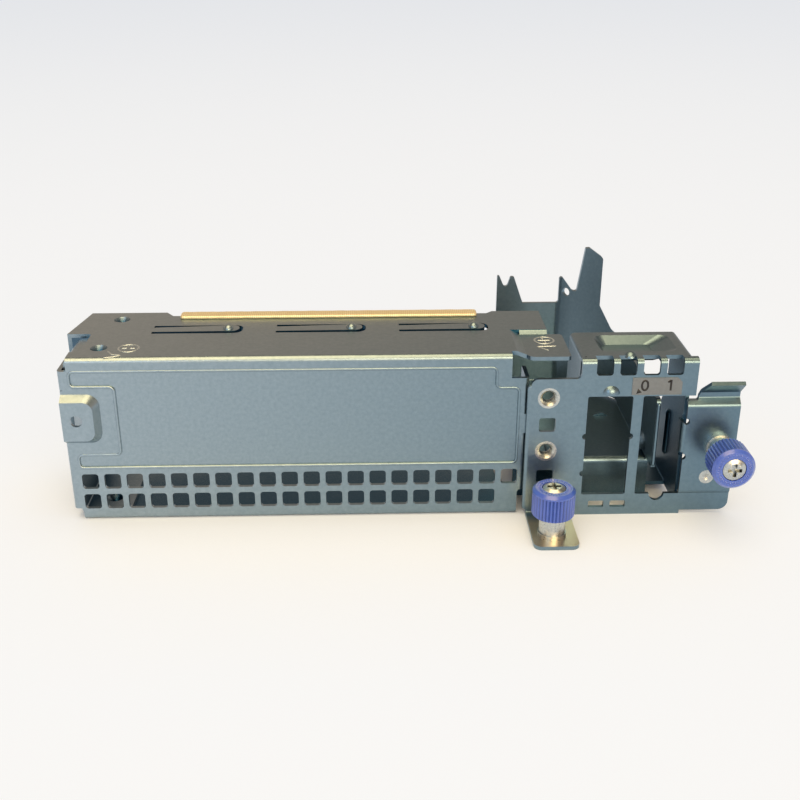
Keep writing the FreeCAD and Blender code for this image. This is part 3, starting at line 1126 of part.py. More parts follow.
label = new_body("slot_label")
label_sketch = drawn_sketch(label, "XZ_Plane", "slot_label_outline", [
    (ex.label_left - ex.foot_screw_x, ex.label_low),
    (ex.label_right - ex.foot_screw_x, ex.label_low),
    (ex.label_right - ex.foot_screw_x, ex.label_high - ex.label_corner),
    (ex.label_right - ex.label_corner - ex.foot_screw_x, ex.label_high),
    (ex.label_left - ex.foot_screw_x, ex.label_high)])
label_pad = label.newObject("PartDesign::Pad", "slot_label_pad")
label_pad.Profile = label_sketch
label_pad.setExpression("Length", ex.label_thick.text)
label.Tip = label_pad
place(label, 0, -ex.sheet_thick - ex.foot_screw_y, 0, UPRIGHT)

gasket = new_body("shield_gasket")
bevel = ex.gasket_round
gasket_sketch = drawn_sketch(gasket, "YZ_Plane", "shield_gasket_outline", [
    (-ex.gasket_over, 0), (-ex.gasket_over, ex.gasket_tall - bevel),
    (bevel - ex.gasket_over, ex.gasket_tall), (ex.gasket_back - bevel, ex.gasket_tall),
    (ex.gasket_back, ex.gasket_tall - bevel),
    (ex.gasket_back, -ex.gasket_drop), (0, -ex.gasket_drop), (0, 0)])
gasket_pad = gasket.newObject("PartDesign::Pad", "shield_gasket_pad")
gasket_pad.Profile = gasket_sketch
gasket_pad.setExpression("Length", (ex.lip_right - ex.gasket_stop - ex.lip_left - ex.gasket_start).text)
gasket.Tip = gasket_pad
place(gasket, ex.lip_left + ex.gasket_start - ex.foot_screw_x, ex.rear_cut - ex.foot_screw_y,
      ex.panel_height, UPRIGHT)

doc.recompute()
for item in doc.Objects:
    if "Invalid" in item.State or "Error" in item.State:
        raise RuntimeError(f"{item.Label} did not recompute: {item.State}")
os.makedirs("parts", exist_ok=True)
for piece in subparts:
    shape = piece.Shape
    if shape.isNull() or not shape.isValid() or len(shape.Solids) != 1:
        raise RuntimeError(f"{piece.Label} is not one valid solid ({len(shape.Solids)} solids)")
    shape.exportStep(f"parts/{piece.Label}.step")
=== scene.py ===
import math
import bmesh
import bpy
import numpy as np
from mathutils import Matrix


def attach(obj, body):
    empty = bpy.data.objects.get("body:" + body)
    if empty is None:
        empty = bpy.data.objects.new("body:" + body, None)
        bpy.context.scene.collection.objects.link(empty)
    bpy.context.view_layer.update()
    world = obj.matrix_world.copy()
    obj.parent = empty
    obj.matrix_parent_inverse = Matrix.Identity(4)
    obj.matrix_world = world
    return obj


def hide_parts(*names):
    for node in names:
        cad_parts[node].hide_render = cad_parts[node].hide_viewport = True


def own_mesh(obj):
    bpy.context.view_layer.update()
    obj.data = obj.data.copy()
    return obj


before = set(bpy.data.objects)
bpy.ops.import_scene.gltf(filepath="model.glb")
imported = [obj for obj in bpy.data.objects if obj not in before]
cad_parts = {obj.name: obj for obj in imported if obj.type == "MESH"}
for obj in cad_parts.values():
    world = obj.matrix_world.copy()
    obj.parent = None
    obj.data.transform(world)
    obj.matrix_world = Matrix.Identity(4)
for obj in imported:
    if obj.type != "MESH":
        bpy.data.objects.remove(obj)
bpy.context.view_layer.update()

# The folded pieces: blank panel, end bracket, cage bracket and guide tray.
# They are pressed and folded from 1 mm cold rolled steel with a thin electroplated zinc coat,
# and held to each other by clinch points and pressed nuts.


def linear(code):
    """The linear colour of an sRGB hex code: each channel through the standard curve."""
    shares = np.array([int(code[i:i + 2], 16) for i in (1, 3, 5)]) / 255
    values = np.where(shares <= 0.04045, shares / 12.92, ((shares + 0.055) / 1.055) ** 2.4)
    return (*values.tolist(), 1.0)


def add(tree, kind, links=None, **settings):
    """One node of a finish: settings are its properties, links are its inputs' sources or values."""
    node = tree.nodes.new(kind)
    for name, value in settings.items():
        setattr(node, name, value)
    for name, source in (links or {}).items():
        if isinstance(source, bpy.types.NodeSocket):
            tree.links.new(source, node.inputs[name])
        else:
            node.inputs[name].default_value = source
    return node


def new_finish(name):
    """An empty material with its node tree."""
    material = bpy.data.materials.new(name)
    material.use_nodes = True
    material.node_tree.nodes.clear()
    return material, material.node_tree


def coat(material, *names):
    """Give the named nodes of the frame this finish in place of their own."""
    for name in names:
        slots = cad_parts[name].data.materials
        slots.clear()
        slots.append(material)


# Zinc over rolled steel: a blue-grey metal, softly mirrored, with a fine sparkle from the plating
# bath and a grain along the rolling direction that blurs reflections sideways. A painted falloff of
# light makes it paler towards the panel's free end. Behind the front sheet, inside the folds, it is
# painted dark blue as painted shade. ZINC_FRONT is the depth at which the front sheet ends. In front
# of ZINC_FOOT there is only the foot, whose upper side gets a pale warm painted highlight.
ZINC_SPARKLE_MM = 0.9
ZINC_GRAIN_MM = 0.55
ZINC_GRAIN_LONG = 0.25
ZINC_ENDS = (-0.118, 0.06)
ZINC_FRONT = (0.0131, 0.0136)
ZINC_FOOT = (0.0055, 0.0095)


def zinc_coat(name, depth, closed, free, alone):
    """The zinc finish of a folded piece.

    depth is how far ambient occlusion looks for folds, closed and free are the shares of open air at
    which the painted shade is darkest and at which it has faded to the full tone, and alone leaves out
    what stands beside the piece.
    """
    finish, tree = new_finish(name)
    place = add(tree, "ShaderNodeTexCoord")
    sparkle = add(tree, "ShaderNodeTexNoise", {
        "Vector": place.outputs["Object"], "Scale": 1000 / ZINC_SPARKLE_MM,
        "Detail": 3.0, "Roughness": 0.6})
    tone = add(tree, "ShaderNodeValToRGB", {"Fac": sparkle.outputs["Fac"]})
    tone.color_ramp.elements[0].position = 0.32
    tone.color_ramp.elements[0].color = linear("#97a8b2")
    tone.color_ramp.elements[1].position = 0.72
    tone.color_ramp.elements[1].color = linear("#a3b3bd")
    ends = add(tree, "ShaderNodeSeparateXYZ", {"Vector": place.outputs["Object"]})
    # Painted light: a falloff that makes the colour paler at the panel's left, free end and darker towards
    # its right end.
    along = add(tree, "ShaderNodeMapRange", {
        "Value": ends.outputs["X"], "From Min": ZINC_ENDS[0], "From Max": ZINC_ENDS[1]})
    painted_light_falloff = add(tree, "ShaderNodeValToRGB", {"Fac": along.outputs["Result"]})
    painted_light_falloff.color_ramp.elements[0].color = linear("#ffffff")
    painted_light_falloff.color_ramp.elements[1].color = linear("#a6bcc8")
    even = add(tree, "ShaderNodeMixRGB", {
        "Fac": 1.0, "Color1": tone.outputs["Color"], "Color2": painted_light_falloff.outputs["Color"]},
        blend_type="MULTIPLY")
    # Painted shade: behind the front sheet, where ambient occlusion finds little open air, the colour
    # turns to a dark blue.
    air = add(tree, "ShaderNodeAmbientOcclusion", {"Distance": depth}, samples=8, only_local=alone)
    ao_unshaded = add(tree, "ShaderNodeMapRange", {
        "Value": air.outputs["AO"], "From Min": closed, "From Max": free})
    front = add(tree, "ShaderNodeMapRange", {
        "Value": ends.outputs["Y"], "From Min": ZINC_FRONT[0], "From Max": ZINC_FRONT[1],
        "To Min": 1.0, "To Max": 0.0})
    full = add(tree, "ShaderNodeMath", {
        0: ao_unshaded.outputs["Result"], 1: front.outputs["Result"]}, operation="MAXIMUM")
    painted_fold_shade = add(tree, "ShaderNodeMixRGB", {
        "Fac": full.outputs["Value"], "Color1": linear("#2a5670"), "Color2": even.outputs["Color"]})
    # Painted highlight: the upward facing faces of the foot turn pale and warm.
    foot = add(tree, "ShaderNodeMapRange", {
        "Value": ends.outputs["Y"], "From Min": ZINC_FOOT[0], "From Max": ZINC_FOOT[1],
        "To Min": 1.0, "To Max": 0.0})
    faces = add(tree, "ShaderNodeNewGeometry")
    level = add(tree, "ShaderNodeSeparateXYZ", {"Vector": faces.outputs["Normal"]})
    upper = add(tree, "ShaderNodeMapRange", {
        "Value": level.outputs["Z"], "From Min": 0.4, "From Max": 0.9})
    foot_highlight_mask = add(tree, "ShaderNodeMath", {
        0: foot.outputs["Result"], 1: upper.outputs["Result"]}, operation="MULTIPLY")
    with_painted_highlight = add(tree, "ShaderNodeMixRGB", {
        "Fac": foot_highlight_mask.outputs["Value"], "Color1": painted_fold_shade.outputs["Color"], "Color2": linear("#d8ccb6")})
    rolled = add(tree, "ShaderNodeMapping", {
        "Vector": place.outputs["Object"], "Scale": (ZINC_GRAIN_LONG, 1.0, 1.0)})
    grain = add(tree, "ShaderNodeTexNoise", {
        "Vector": rolled.outputs["Vector"], "Scale": 1000 / ZINC_GRAIN_MM,
        "Detail": 2.0, "Roughness": 0.6})
    dull = add(tree, "ShaderNodeMapRange", {
        "Value": grain.outputs["Fac"], "From Min": 0.25, "From Max": 0.75,
        "To Min": 0.30, "To Max": 0.38})
    bump = add(tree, "ShaderNodeBump", {
        "Height": grain.outputs["Fac"], "Strength": 0.07, "Distance": 0.00003})
    metal = add(tree, "ShaderNodeBsdfPrincipled", {
        "Base Color": with_painted_highlight.outputs["Color"], "Metallic": 1.0, "Roughness": dull.outputs["Result"],
        "Normal": bump.outputs["Normal"]})
    add(tree, "ShaderNodeOutputMaterial", {"Surface": metal.outputs["BSDF"]})
    return finish


zinc_sheet = zinc_coat("zinc_plated_rolled_steel", depth=0.09, closed=0.50, free=0.80, alone=True)
coat(zinc_sheet, "blank_panel", "end_bracket")
zinc_fold = zinc_coat("zinc_plated_folded_steel", depth=0.06, closed=0.06, free=0.34, alone=False)
coat(zinc_fold, "cage_bracket")
zinc_tray = zinc_coat("zinc_plated_tray_steel", depth=0.06, closed=0.02, free=0.20, alone=False)
coat(zinc_tray, "guide_tray")

# The direction marks: a slotted screw in a ring and an arrow head, twice on the panel.
# They are thin raised lines coined into the top of the sheet, one pair at the left end
# and one pair on the corner tab beside the screw that it belongs to.

# Zinc on the crest of a coined line is rubbed bright by handling: paler than the sheet, with small
# dull patches where the rubbing missed.
RUB_MM = 0.4
rubbed_zinc, tree = new_finish("zinc_rubbed_bright_on_coined_lines")
place = add(tree, "ShaderNodeTexCoord")
rub = add(tree, "ShaderNodeTexNoise", {
    "Vector": place.outputs["Object"], "Scale": 1000 / RUB_MM, "Detail": 2.0})
tone = add(tree, "ShaderNodeValToRGB", {"Fac": rub.outputs["Fac"]})
tone.color_ramp.elements[0].color = linear("#b3c0c8")
tone.color_ramp.elements[1].color = linear("#d2dde2")
metal = add(tree, "ShaderNodeBsdfPrincipled", {
    "Base Color": tone.outputs["Color"], "Metallic": 1.0, "Roughness": 0.42})
add(tree, "ShaderNodeOutputMaterial", {"Surface": metal.outputs["BSDF"]})
MARK_WIDTH = 0.00048
MARK_HEIGHT = 0.00013
LINE_SINK = 0.12
TOP_LEVEL = 0.0436
TAB_LEVEL = 0.0426


def skin(name, points, material, around=False, along=False):
    """A piece from a grid of points, rows by columns: four neighbours make a face.

    around joins the last column to the first, along joins the last row to the first.
    A row of equal points is merged to one, which closes a pole.
    """
    rows, columns = points.shape[:2]
    row = np.arange(rows if along else rows - 1)[:, None]
    column = np.arange(columns if around else columns - 1)[None, :]
    below = (row + 1) % rows
    beside = (column + 1) % columns
    corners = np.stack([
        row * columns + column, row * columns + beside,
        below * columns + beside, below * columns + column], -1)
    mesh = bpy.data.meshes.new(name)
    mesh.from_pydata(points.reshape(-1, 3).tolist(), [], corners.reshape(-1, 4).tolist())
    welded = bmesh.new()
    welded.from_mesh(mesh)
    bmesh.ops.remove_doubles(welded, verts=welded.verts, dist=1e-7)
    welded.to_mesh(mesh)
    welded.free()
    mesh.shade_smooth()
    mesh.materials.append(material)
    piece = bpy.data.objects.new(name, mesh)
    bpy.context.scene.collection.objects.link(piece)
    return piece


def sideways(path, closed):
    """The unit step to the left at each point of a flat path: its direction, turned a quarter circle."""
    ahead = np.roll(path, -1, 0) - np.roll(path, 1, 0) if closed else np.gradient(path, axis=0)
    ahead = ahead / np.linalg.norm(ahead, axis=1, keepdims=True)
    return np.stack([-ahead[:, 1], ahead[:, 0]], 1)


def coined_line(path, wide, high, closed=False):
    """A raised line: half an ellipse, across by cosine and up by sine, carried along the path.

    The half turn runs on by LINE_SINK at both feet, which sinks them into the sheet. The ends of an
    open path shrink to a fiftieth, by the eighth power of the distance from the middle.
    It gives the line's two flat coordinates and its rise above the sheet.
    """
    share = np.linspace(-1, 1, len(path))
    full = np.ones(len(path)) if closed else np.sqrt(np.clip(1 - share ** 8, 0.0004, 1))
    turn = np.linspace(-LINE_SINK, math.pi + LINE_SINK, 11)
    across = full[:, None] * np.cos(turn) * wide / 2
    flat = path[:, None, :] + sideways(path, closed)[:, None, :] * across[:, :, None]
    return flat[..., 0], flat[..., 1], full[:, None] * np.sin(turn) * high


def top_mark(name, path, level, closed=False):
    """A coined line on a flat that faces up, at the given level."""
    along, back, rise = coined_line(path, MARK_WIDTH, MARK_HEIGHT, closed)
    return skin(name, np.stack([along, back, level + rise], -1), rubbed_zinc, along=closed)


def straight(*corners):
    """Points evenly set along the runs between the corners, given in millimetres, 24 to a run."""
    corners = np.array(corners) / 1000
    where = np.linspace(0, len(corners) - 1, 24 * (len(corners) - 1) + 1)
    return np.stack([np.interp(where, np.arange(len(corners)), corners[:, i]) for i in (0, 1)], 1)


def oval(centre, wide, high):
    """Points round an oval, given in millimetres: half its sizes times cosine and sine of a full turn."""
    turn = np.linspace(0, 2 * math.pi, 72, endpoint=False)
    return (np.array(centre) + np.stack([wide * np.cos(turn), high * np.sin(turn)], 1)) / 1000


marks = [
    top_mark("left_mark_ring", oval((-102.6, 19.1), 2.45, 2.45), TOP_LEVEL, closed=True),
    top_mark("left_mark_slot_a", straight((-104.3, 19.2), (-102.95, 19.15)), TOP_LEVEL),
    top_mark("left_mark_slot_b", straight((-102.3, 19.1), (-101.0, 19.05)), TOP_LEVEL),
    top_mark("left_mark_arrow_a", straight((-107.3, 17.3), (-105.9, 15.1), (-103.5, 14.5)), TOP_LEVEL),
    top_mark("left_mark_arrow_b", straight((-107.5, 12.8), (-105.0, 13.7), (-103.5, 14.5)), TOP_LEVEL),
    top_mark("tab_mark_ring", oval((-0.4, 24.3), 2.4, 2.4), TAB_LEVEL, closed=True),
    top_mark("tab_mark_slot", straight((-2.1, 24.3), (1.3, 24.4)), TAB_LEVEL),
    top_mark("tab_mark_slot_rear", straight((-0.7, 26.5), (-0.65, 25.1)), TAB_LEVEL),
    top_mark("tab_mark_slot_front", straight((-0.3, 23.6), (-0.25, 22.2)), TAB_LEVEL),
    top_mark("tab_mark_arrow_a", straight((-2.8, 20.1), (2.2, 20.35)), TAB_LEVEL),
    top_mark("tab_mark_arrow_b", straight((-2.8, 20.1), (-0.25, 17.35)), TAB_LEVEL)]
for mark in marks:
    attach(mark, "frame")

# The edge of the panel's large field, pressed back into the front sheet to stiffen it. The punch
# leaves a low rolled rim in the same zinc coated sheet, which falls to the field on its inner side.
FIELD_CORNERS = (
    (-116.1, 40.2), (-13.3, 40.2), (-13.3, 34.9), (-7.7, 34.9), (-7.7, 14.6),
    (-116.1, 14.6), (-116.1, 18.1), (-105.6, 18.1), (-105.6, 36.3), (-116.1, 36.3))
FIELD_ROUND_MM = 1.2
FIELD_RIM_WIDTH = 0.0007
FIELD_RIM_HEIGHT = 0.00016
FIELD_DEPTH = 0.00035
PANEL_FRONT = 0.0122


def rounded_outline(corners, radius):
    """A closed outline of square corners, each turned into a quarter circle, in millimetres.

    From the circle's centre, the points lie along the way in by sine and against the way out by cosine.
    """
    corners = np.array(corners)
    way_in = corners - np.roll(corners, 1, 0)
    way_in = (way_in / np.linalg.norm(way_in, axis=1, keepdims=True))[:, None, :]
    way_out = np.roll(way_in, -1, 0)
    turn = np.linspace(0, math.pi / 2, 9)[None, :, None]
    middle = corners[:, None, :] + radius * (way_out - way_in)
    points = middle + radius * (way_in * np.sin(turn) - way_out * np.cos(turn))
    return points.reshape(-1, 2) / 1000


along, up, rise = coined_line(
    rounded_outline(FIELD_CORNERS, FIELD_ROUND_MM), FIELD_RIM_WIDTH, FIELD_RIM_HEIGHT, closed=True)
crest = rise.shape[1] // 2
rise[:, crest:] += (rise[:, crest:] / FIELD_RIM_HEIGHT - 1) * FIELD_DEPTH
rim = skin("field_rolled_rim", np.stack([along, PANEL_FRONT - rise, up], -1), zinc_sheet, along=True)
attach(rim, "frame")

# The rounded edges of the cage's front pillar, beside the panel's end, and of the tray's wall behind
# the second window. They are the same zinc coated sheet, sheared and then rolled smooth, each drawn
# as a bead along the cut.
EDGE_HALF = 0.00048
PILLAR_EDGE = (-0.00495, 0.0117)
PILLAR_EDGE_OUT = 0.0009
PILLAR_EDGE_ENDS = (0.0012, 0.0362)
TRAY_EDGE = (0.0277, 0.01525)
TRAY_EDGE_OUT = 0.0005
TRAY_EDGE_ENDS = (0.0114, 0.0292)


def rounded_edge(name, middle, across, out, ends, material):
    """Half an oval, across by cosine and out by sine, carried upright and closed at both ends."""
    share = np.linspace(0, 1, 41)
    full = np.ones_like(share)
    full[[0, -1]] = 0
    turn = np.linspace(0, math.pi, 13)[:, None]
    oval_half = np.cos(turn) * np.array(across) + np.sin(turn) * np.array(out)
    flat = np.array(middle) + full[:, None, None] * oval_half
    up = ends[0] + (ends[1] - ends[0]) * share
    level = np.broadcast_to(up[:, None, None], flat.shape[:2] + (1,))
    return skin(name, np.concatenate([flat, level], -1), material)


edges = [
    rounded_edge("pillar_rounded_edge", PILLAR_EDGE, (0, EDGE_HALF), (-PILLAR_EDGE_OUT, 0),
                 PILLAR_EDGE_ENDS, zinc_sheet),
    rounded_edge("tray_rounded_edge", TRAY_EDGE, (-EDGE_HALF, 0), (0, -TRAY_EDGE_OUT),
                 TRAY_EDGE_ENDS, zinc_tray)]
for edge in edges:
    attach(edge, "frame")

# The shield gasket: a strip of foam wrapped in metal plated cloth, folded over the rear edge
# of the panel's top flange and glued there. It touches the case above when the part is fitted.
GASKET_ENDS = (-0.0935, -0.0157)
GASKET_LOW = 0.0404
GASKET_HIGH = 0.04445
GASKET_FRONT = 0.0395
GASKET_REAR = 0.0436
FLANGE_REAR = 0.0424
GASKET_ROUND = 0.00042
GASKET_POINTS = 120
GASKET_FREE = 0.0012
GASKET_END_POWER = 160
GASKET_GIVE = 0.05
GASKET_WAVES = (1300, 410)


def foam_strip(name, material):
    """An L profile with soft corners, carried along X.

    The corners are softened by a running mean of the outline, which grows from nothing at the sheet's
    own edge to its full amount at GASKET_FREE. Towards the ends the profile closes on the sheet's edge
    by a steep power of the distance, and slow sine waves along the strip are the give of the foam.
    """
    corners = np.array([
        (GASKET_FRONT, TOP_LEVEL), (FLANGE_REAR, TOP_LEVEL), (FLANGE_REAR, GASKET_LOW),
        (GASKET_REAR, GASKET_LOW), (GASKET_REAR, GASKET_HIGH), (GASKET_FRONT, GASKET_HIGH),
        (GASKET_FRONT, TOP_LEVEL)])
    runs = np.concatenate([[0], np.cumsum(np.linalg.norm(np.diff(corners, axis=0), axis=1))])
    where = np.linspace(0, runs[-1], GASKET_POINTS, endpoint=False)
    sharp = np.stack([np.interp(where, runs, corners[:, i]) for i in (0, 1)], 1)
    reach = int(round(GASKET_ROUND / runs[-1] * GASKET_POINTS))
    soft = np.mean([np.roll(sharp, k, 0) for k in range(-reach, reach + 1)], 0)
    edge = np.array([FLANGE_REAR, TOP_LEVEL])
    away = np.clip(np.linalg.norm(sharp - edge, axis=1) / GASKET_FREE, 0, 1)[:, None]
    profile = sharp + away * (soft - sharp)
    share = np.sin(np.linspace(-math.pi / 2, math.pi / 2, 161))
    along = (GASKET_ENDS[0] + GASKET_ENDS[1]) / 2 + share * (GASKET_ENDS[1] - GASKET_ENDS[0]) / 2
    full = np.sqrt(np.clip(1 - np.abs(share) ** GASKET_END_POWER, 0, 1))
    waves = np.sin(along * GASKET_WAVES[0]) * np.sin(along * GASKET_WAVES[1] + 1)
    give = 1 - GASKET_GIVE * (1 + waves) / 2
    spread = edge + (profile[None] - edge) * (full * give)[:, None, None]
    grid = np.concatenate([np.broadcast_to(along[:, None, None], spread.shape[:2] + (1,)), spread], -1)
    return skin(name, grid, material, around=True)


# Nickel over copper on woven polyester: warm tan metal threads, drawn at twice their real
# spacing so that the weave shows, each thread a soft round ridge in both directions.
THREAD_MM = 0.5
CLOTH_WEAR_MM = 4.0
plated_cloth, tree = new_finish("metal_plated_woven_cloth")
place = add(tree, "ShaderNodeTexCoord")
warp = add(tree, "ShaderNodeTexWave", {
    "Vector": place.outputs["Object"], "Scale": 1000 * math.pi / 10 / THREAD_MM}, bands_direction="X")
turned = add(tree, "ShaderNodeMapping", {
    "Vector": place.outputs["Object"], "Rotation": (math.radians(45), 0, 0)})
weft = add(tree, "ShaderNodeTexWave", {
    "Vector": turned.outputs["Vector"], "Scale": 1000 * math.pi / 10 / THREAD_MM}, bands_direction="Y")
weave = add(tree, "ShaderNodeMath", {
    0: warp.outputs["Fac"], 1: weft.outputs["Fac"]}, operation="MULTIPLY")
wear = add(tree, "ShaderNodeTexNoise", {
    "Vector": place.outputs["Object"], "Scale": 1000 / CLOTH_WEAR_MM, "Detail": 3.0})
shade = add(tree, "ShaderNodeMath", {
    0: weave.outputs["Value"], 1: wear.outputs["Fac"], 2: 0.2}, operation="MULTIPLY_ADD")
tone = add(tree, "ShaderNodeValToRGB", {"Fac": shade.outputs["Value"]})
tone.color_ramp.elements[0].position = 0.15
tone.color_ramp.elements[0].color = linear("#d2c49e")
tone.color_ramp.elements[1].position = 0.75
tone.color_ramp.elements[1].color = linear("#f6ecce")
bump = add(tree, "ShaderNodeBump", {
    "Height": weave.outputs["Value"], "Strength": 0.3, "Distance": 0.0001})
cloth = add(tree, "ShaderNodeBsdfPrincipled", {
    "Base Color": tone.outputs["Color"], "Metallic": 0.6, "Roughness": 0.46,
    "Normal": bump.outputs["Normal"]})
add(tree, "ShaderNodeOutputMaterial", {"Surface": cloth.outputs["BSDF"]})
gasket = foam_strip("gasket_strip", plated_cloth)
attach(gasket, "frame")
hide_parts("shield_gasket")

# The pressed nuts, the locating pin, and the ferrules of the two captive screws.
# All are turned from free cutting steel bar, bright zinc plated, and pressed into the sheet.

# The bar's fine tool marks scatter a bright, slightly warm reflection. The bores and the screws'
# cross recesses are painted dark, as painted shade where little open air reaches.
TURNED_MM = 0.5
BORE_REACH = 0.005
bright_steel, tree = new_finish("bright_plated_turned_steel")
place = add(tree, "ShaderNodeTexCoord")
marks_of_tool = add(tree, "ShaderNodeTexNoise", {
    "Vector": place.outputs["Object"], "Scale": 1000 / TURNED_MM, "Detail": 2.0})
tone = add(tree, "ShaderNodeValToRGB", {"Fac": marks_of_tool.outputs["Fac"]})
tone.color_ramp.elements[0].position = 0.3
tone.color_ramp.elements[0].color = linear("#b0b6b7")
tone.color_ramp.elements[1].position = 0.7
tone.color_ramp.elements[1].color = linear("#cfd2cd")
dull = add(tree, "ShaderNodeMapRange", {
    "Value": marks_of_tool.outputs["Fac"], "From Min": 0.3, "From Max": 0.7,
    "To Min": 0.27, "To Max": 0.33})
bump = add(tree, "ShaderNodeBump", {
    "Height": marks_of_tool.outputs["Fac"], "Strength": 0.03, "Distance": 0.00003})
# Painted shade: the colour darkens in the bores and cross recesses, where ambient occlusion finds little
# open air.
air = add(tree, "ShaderNodeAmbientOcclusion", {"Distance": BORE_REACH}, samples=8, only_local=True)
painted_recess_shade = add(tree, "ShaderNodeMapRange", {
    "Value": air.outputs["AO"], "From Min": 0.1, "From Max": 0.55, "To Min": 0.12, "To Max": 1.0})
bore = add(tree, "ShaderNodeVectorMath", {
    0: tone.outputs["Color"], "Scale": painted_recess_shade.outputs["Result"]}, operation="SCALE")
steel = add(tree, "ShaderNodeBsdfPrincipled", {
    "Base Color": bore.outputs["Vector"], "Metallic": 1.0, "Roughness": dull.outputs["Result"],
    "Normal": bump.outputs["Normal"]})
add(tree, "ShaderNodeOutputMaterial", {"Surface": steel.outputs["BSDF"]})
coat(bright_steel, "upper_clinch_nut", "lower_clinch_nut", "locating_pin", "foot_ferrule", "wing_ferrule")
THREAD_PITCH = 0.0005
THREAD_SINK = 0.00002
NUT_BORE = 0.00165
NUT_RIDGE = 0.00022
NUT_THREAD_ENDS = (0.0003, 0.0024)
NUT_AXIS_X = -0.0006
NUT_REAR = 0.0142
NUT_HEIGHTS = {"upper_nut_thread": 0.0325, "lower_nut_thread": 0.0182}


def screwed_ridge(name, root, height, ends, place_of, inside=False):
    """The ridge of a screw thread: a triangle with its tip cut off, carried along a helix.

    The angle grows along the rows, the level by one pitch a turn, and the ridge rises from nothing
    over the first half turn and falls over the last. Its foot lies THREAD_SINK inside the metal.
    Inside a bore the triangle runs the other way, so that its faces point out of the metal there too.
    """
    turns = (ends[1] - ends[0]) / THREAD_PITCH
    angle = np.linspace(0, 2 * math.pi * turns, int(turns * 40) + 1)
    rise = np.clip(np.minimum(angle, angle[-1] - angle) / math.pi, 0, 1)
    side = np.array([-0.46, -0.12, 0.12, 0.46]) * THREAD_PITCH
    lift = np.array([0.0, 1.0, 1.0, 0.0]) * height
    sign = -1 if inside else 1
    side = side if inside else side[::-1]
    radius = root - sign * THREAD_SINK + sign * rise[:, None] * lift[None]
    level = ends[0] + THREAD_PITCH * angle[:, None] / (2 * math.pi) + side[None]
    points = np.stack([radius * np.cos(angle)[:, None], radius * np.sin(angle)[:, None], level], -1)
    return skin(name, place_of(points), bright_steel)


def facing_front(spot):
    """How to set a turned piece at a spot: its own Z becomes the panel's -Y, and its Y points up."""
    return lambda points: np.stack([
        spot[0] + points[..., 0], spot[1] - points[..., 2], spot[2] + points[..., 1]], -1)


for name, height in NUT_HEIGHTS.items():
    nut_place = facing_front((NUT_AXIS_X, NUT_REAR, height))
    thread = screwed_ridge(name, NUT_BORE, NUT_RIDGE, NUT_THREAD_ENDS, nut_place, inside=True)
    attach(thread, "frame")

# The springs that lift the captive screws: five open turns of round wire each, between the
# ferrule's web and the knob's web. Hard drawn steel wire, oiled and left bare.
WING_AXIS = (0.0424, 0.0118, 0.0192)
WIRE_RADIUS = 0.0002
COIL_RADIUS = 0.00185
COIL_LOW = 0.00365
COIL_HIGH = 0.01185
COIL_TURNS = 5

# Drawn wire has a smooth, grey, mirroring skin, with darker patches where the die's soap was left.
DRAWN_MM = 0.3
spring_wire, tree = new_finish("drawn_spring_wire")
place = add(tree, "ShaderNodeTexCoord")
draw_lines = add(tree, "ShaderNodeTexNoise", {
    "Vector": place.outputs["Object"], "Scale": 1000 / DRAWN_MM, "Detail": 2.0})
tone = add(tree, "ShaderNodeValToRGB", {"Fac": draw_lines.outputs["Fac"]})
tone.color_ramp.elements[0].color = linear("#7f8182")
tone.color_ramp.elements[1].color = linear("#b5b6b2")
wire = add(tree, "ShaderNodeBsdfPrincipled", {
    "Base Color": tone.outputs["Color"], "Metallic": 1.0, "Roughness": 0.3})
add(tree, "ShaderNodeOutputMaterial", {"Surface": wire.outputs["BSDF"]})


def foot_place(points):
    """The foot screw stands on the frame's own origin."""
    return points


wing_place = facing_front(WING_AXIS)


def coil(name, place_of):
    """A round wire carried along a helix, its ends closed to a point within one wire radius.

    The middle line is cosine and sine of the turn with an even rise. The section is a circle in
    the plane of the outward and upward directions.
    """
    share = np.linspace(0, 1, COIL_TURNS * 48 + 1)
    angle = 2 * math.pi * COIL_TURNS * share
    around = np.linspace(0, 2 * math.pi, 12, endpoint=False)
    full = np.ones_like(share)
    full[[0, -1]] = 0
    out = COIL_RADIUS + WIRE_RADIUS * full[:, None] * np.cos(around)
    climb = COIL_LOW + (COIL_HIGH - COIL_LOW) * share[:, None]
    up = climb - WIRE_RADIUS * full[:, None] * np.sin(around)
    points = np.stack([out * np.cos(angle)[:, None], out * np.sin(angle)[:, None], up], -1)
    return skin(name, place_of(points), spring_wire, around=True)


foot_coil = coil("foot_coil_wire", foot_place)
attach(foot_coil, "frame")
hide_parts("foot_spring")
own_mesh(foot_coil)
wing_coil = coil("wing_coil_wire", wing_place)
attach(wing_coil, "frame")
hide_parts("wing_spring")
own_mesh(wing_coil)

# The captive screws: turned steel with a rolled thread at the tip, and a pan head with a cross
# recess pressed into the knob. Four small bosses between the arms of the cross are left by the
# heading tool.
coat(bright_steel, "foot_screw", "wing_screw")
SCREW_ROOT = 0.0015
SCREW_RIDGE = 0.00012
SCREW_THREAD_ENDS = (0.0009, 0.0023)
HEAD_TOP = 0.01435
BOSS_RING = 0.00145
BOSS_RADIUS = 0.00024
BOSS_HEIGHT = 0.00012
BOSS_SINK = 0.2


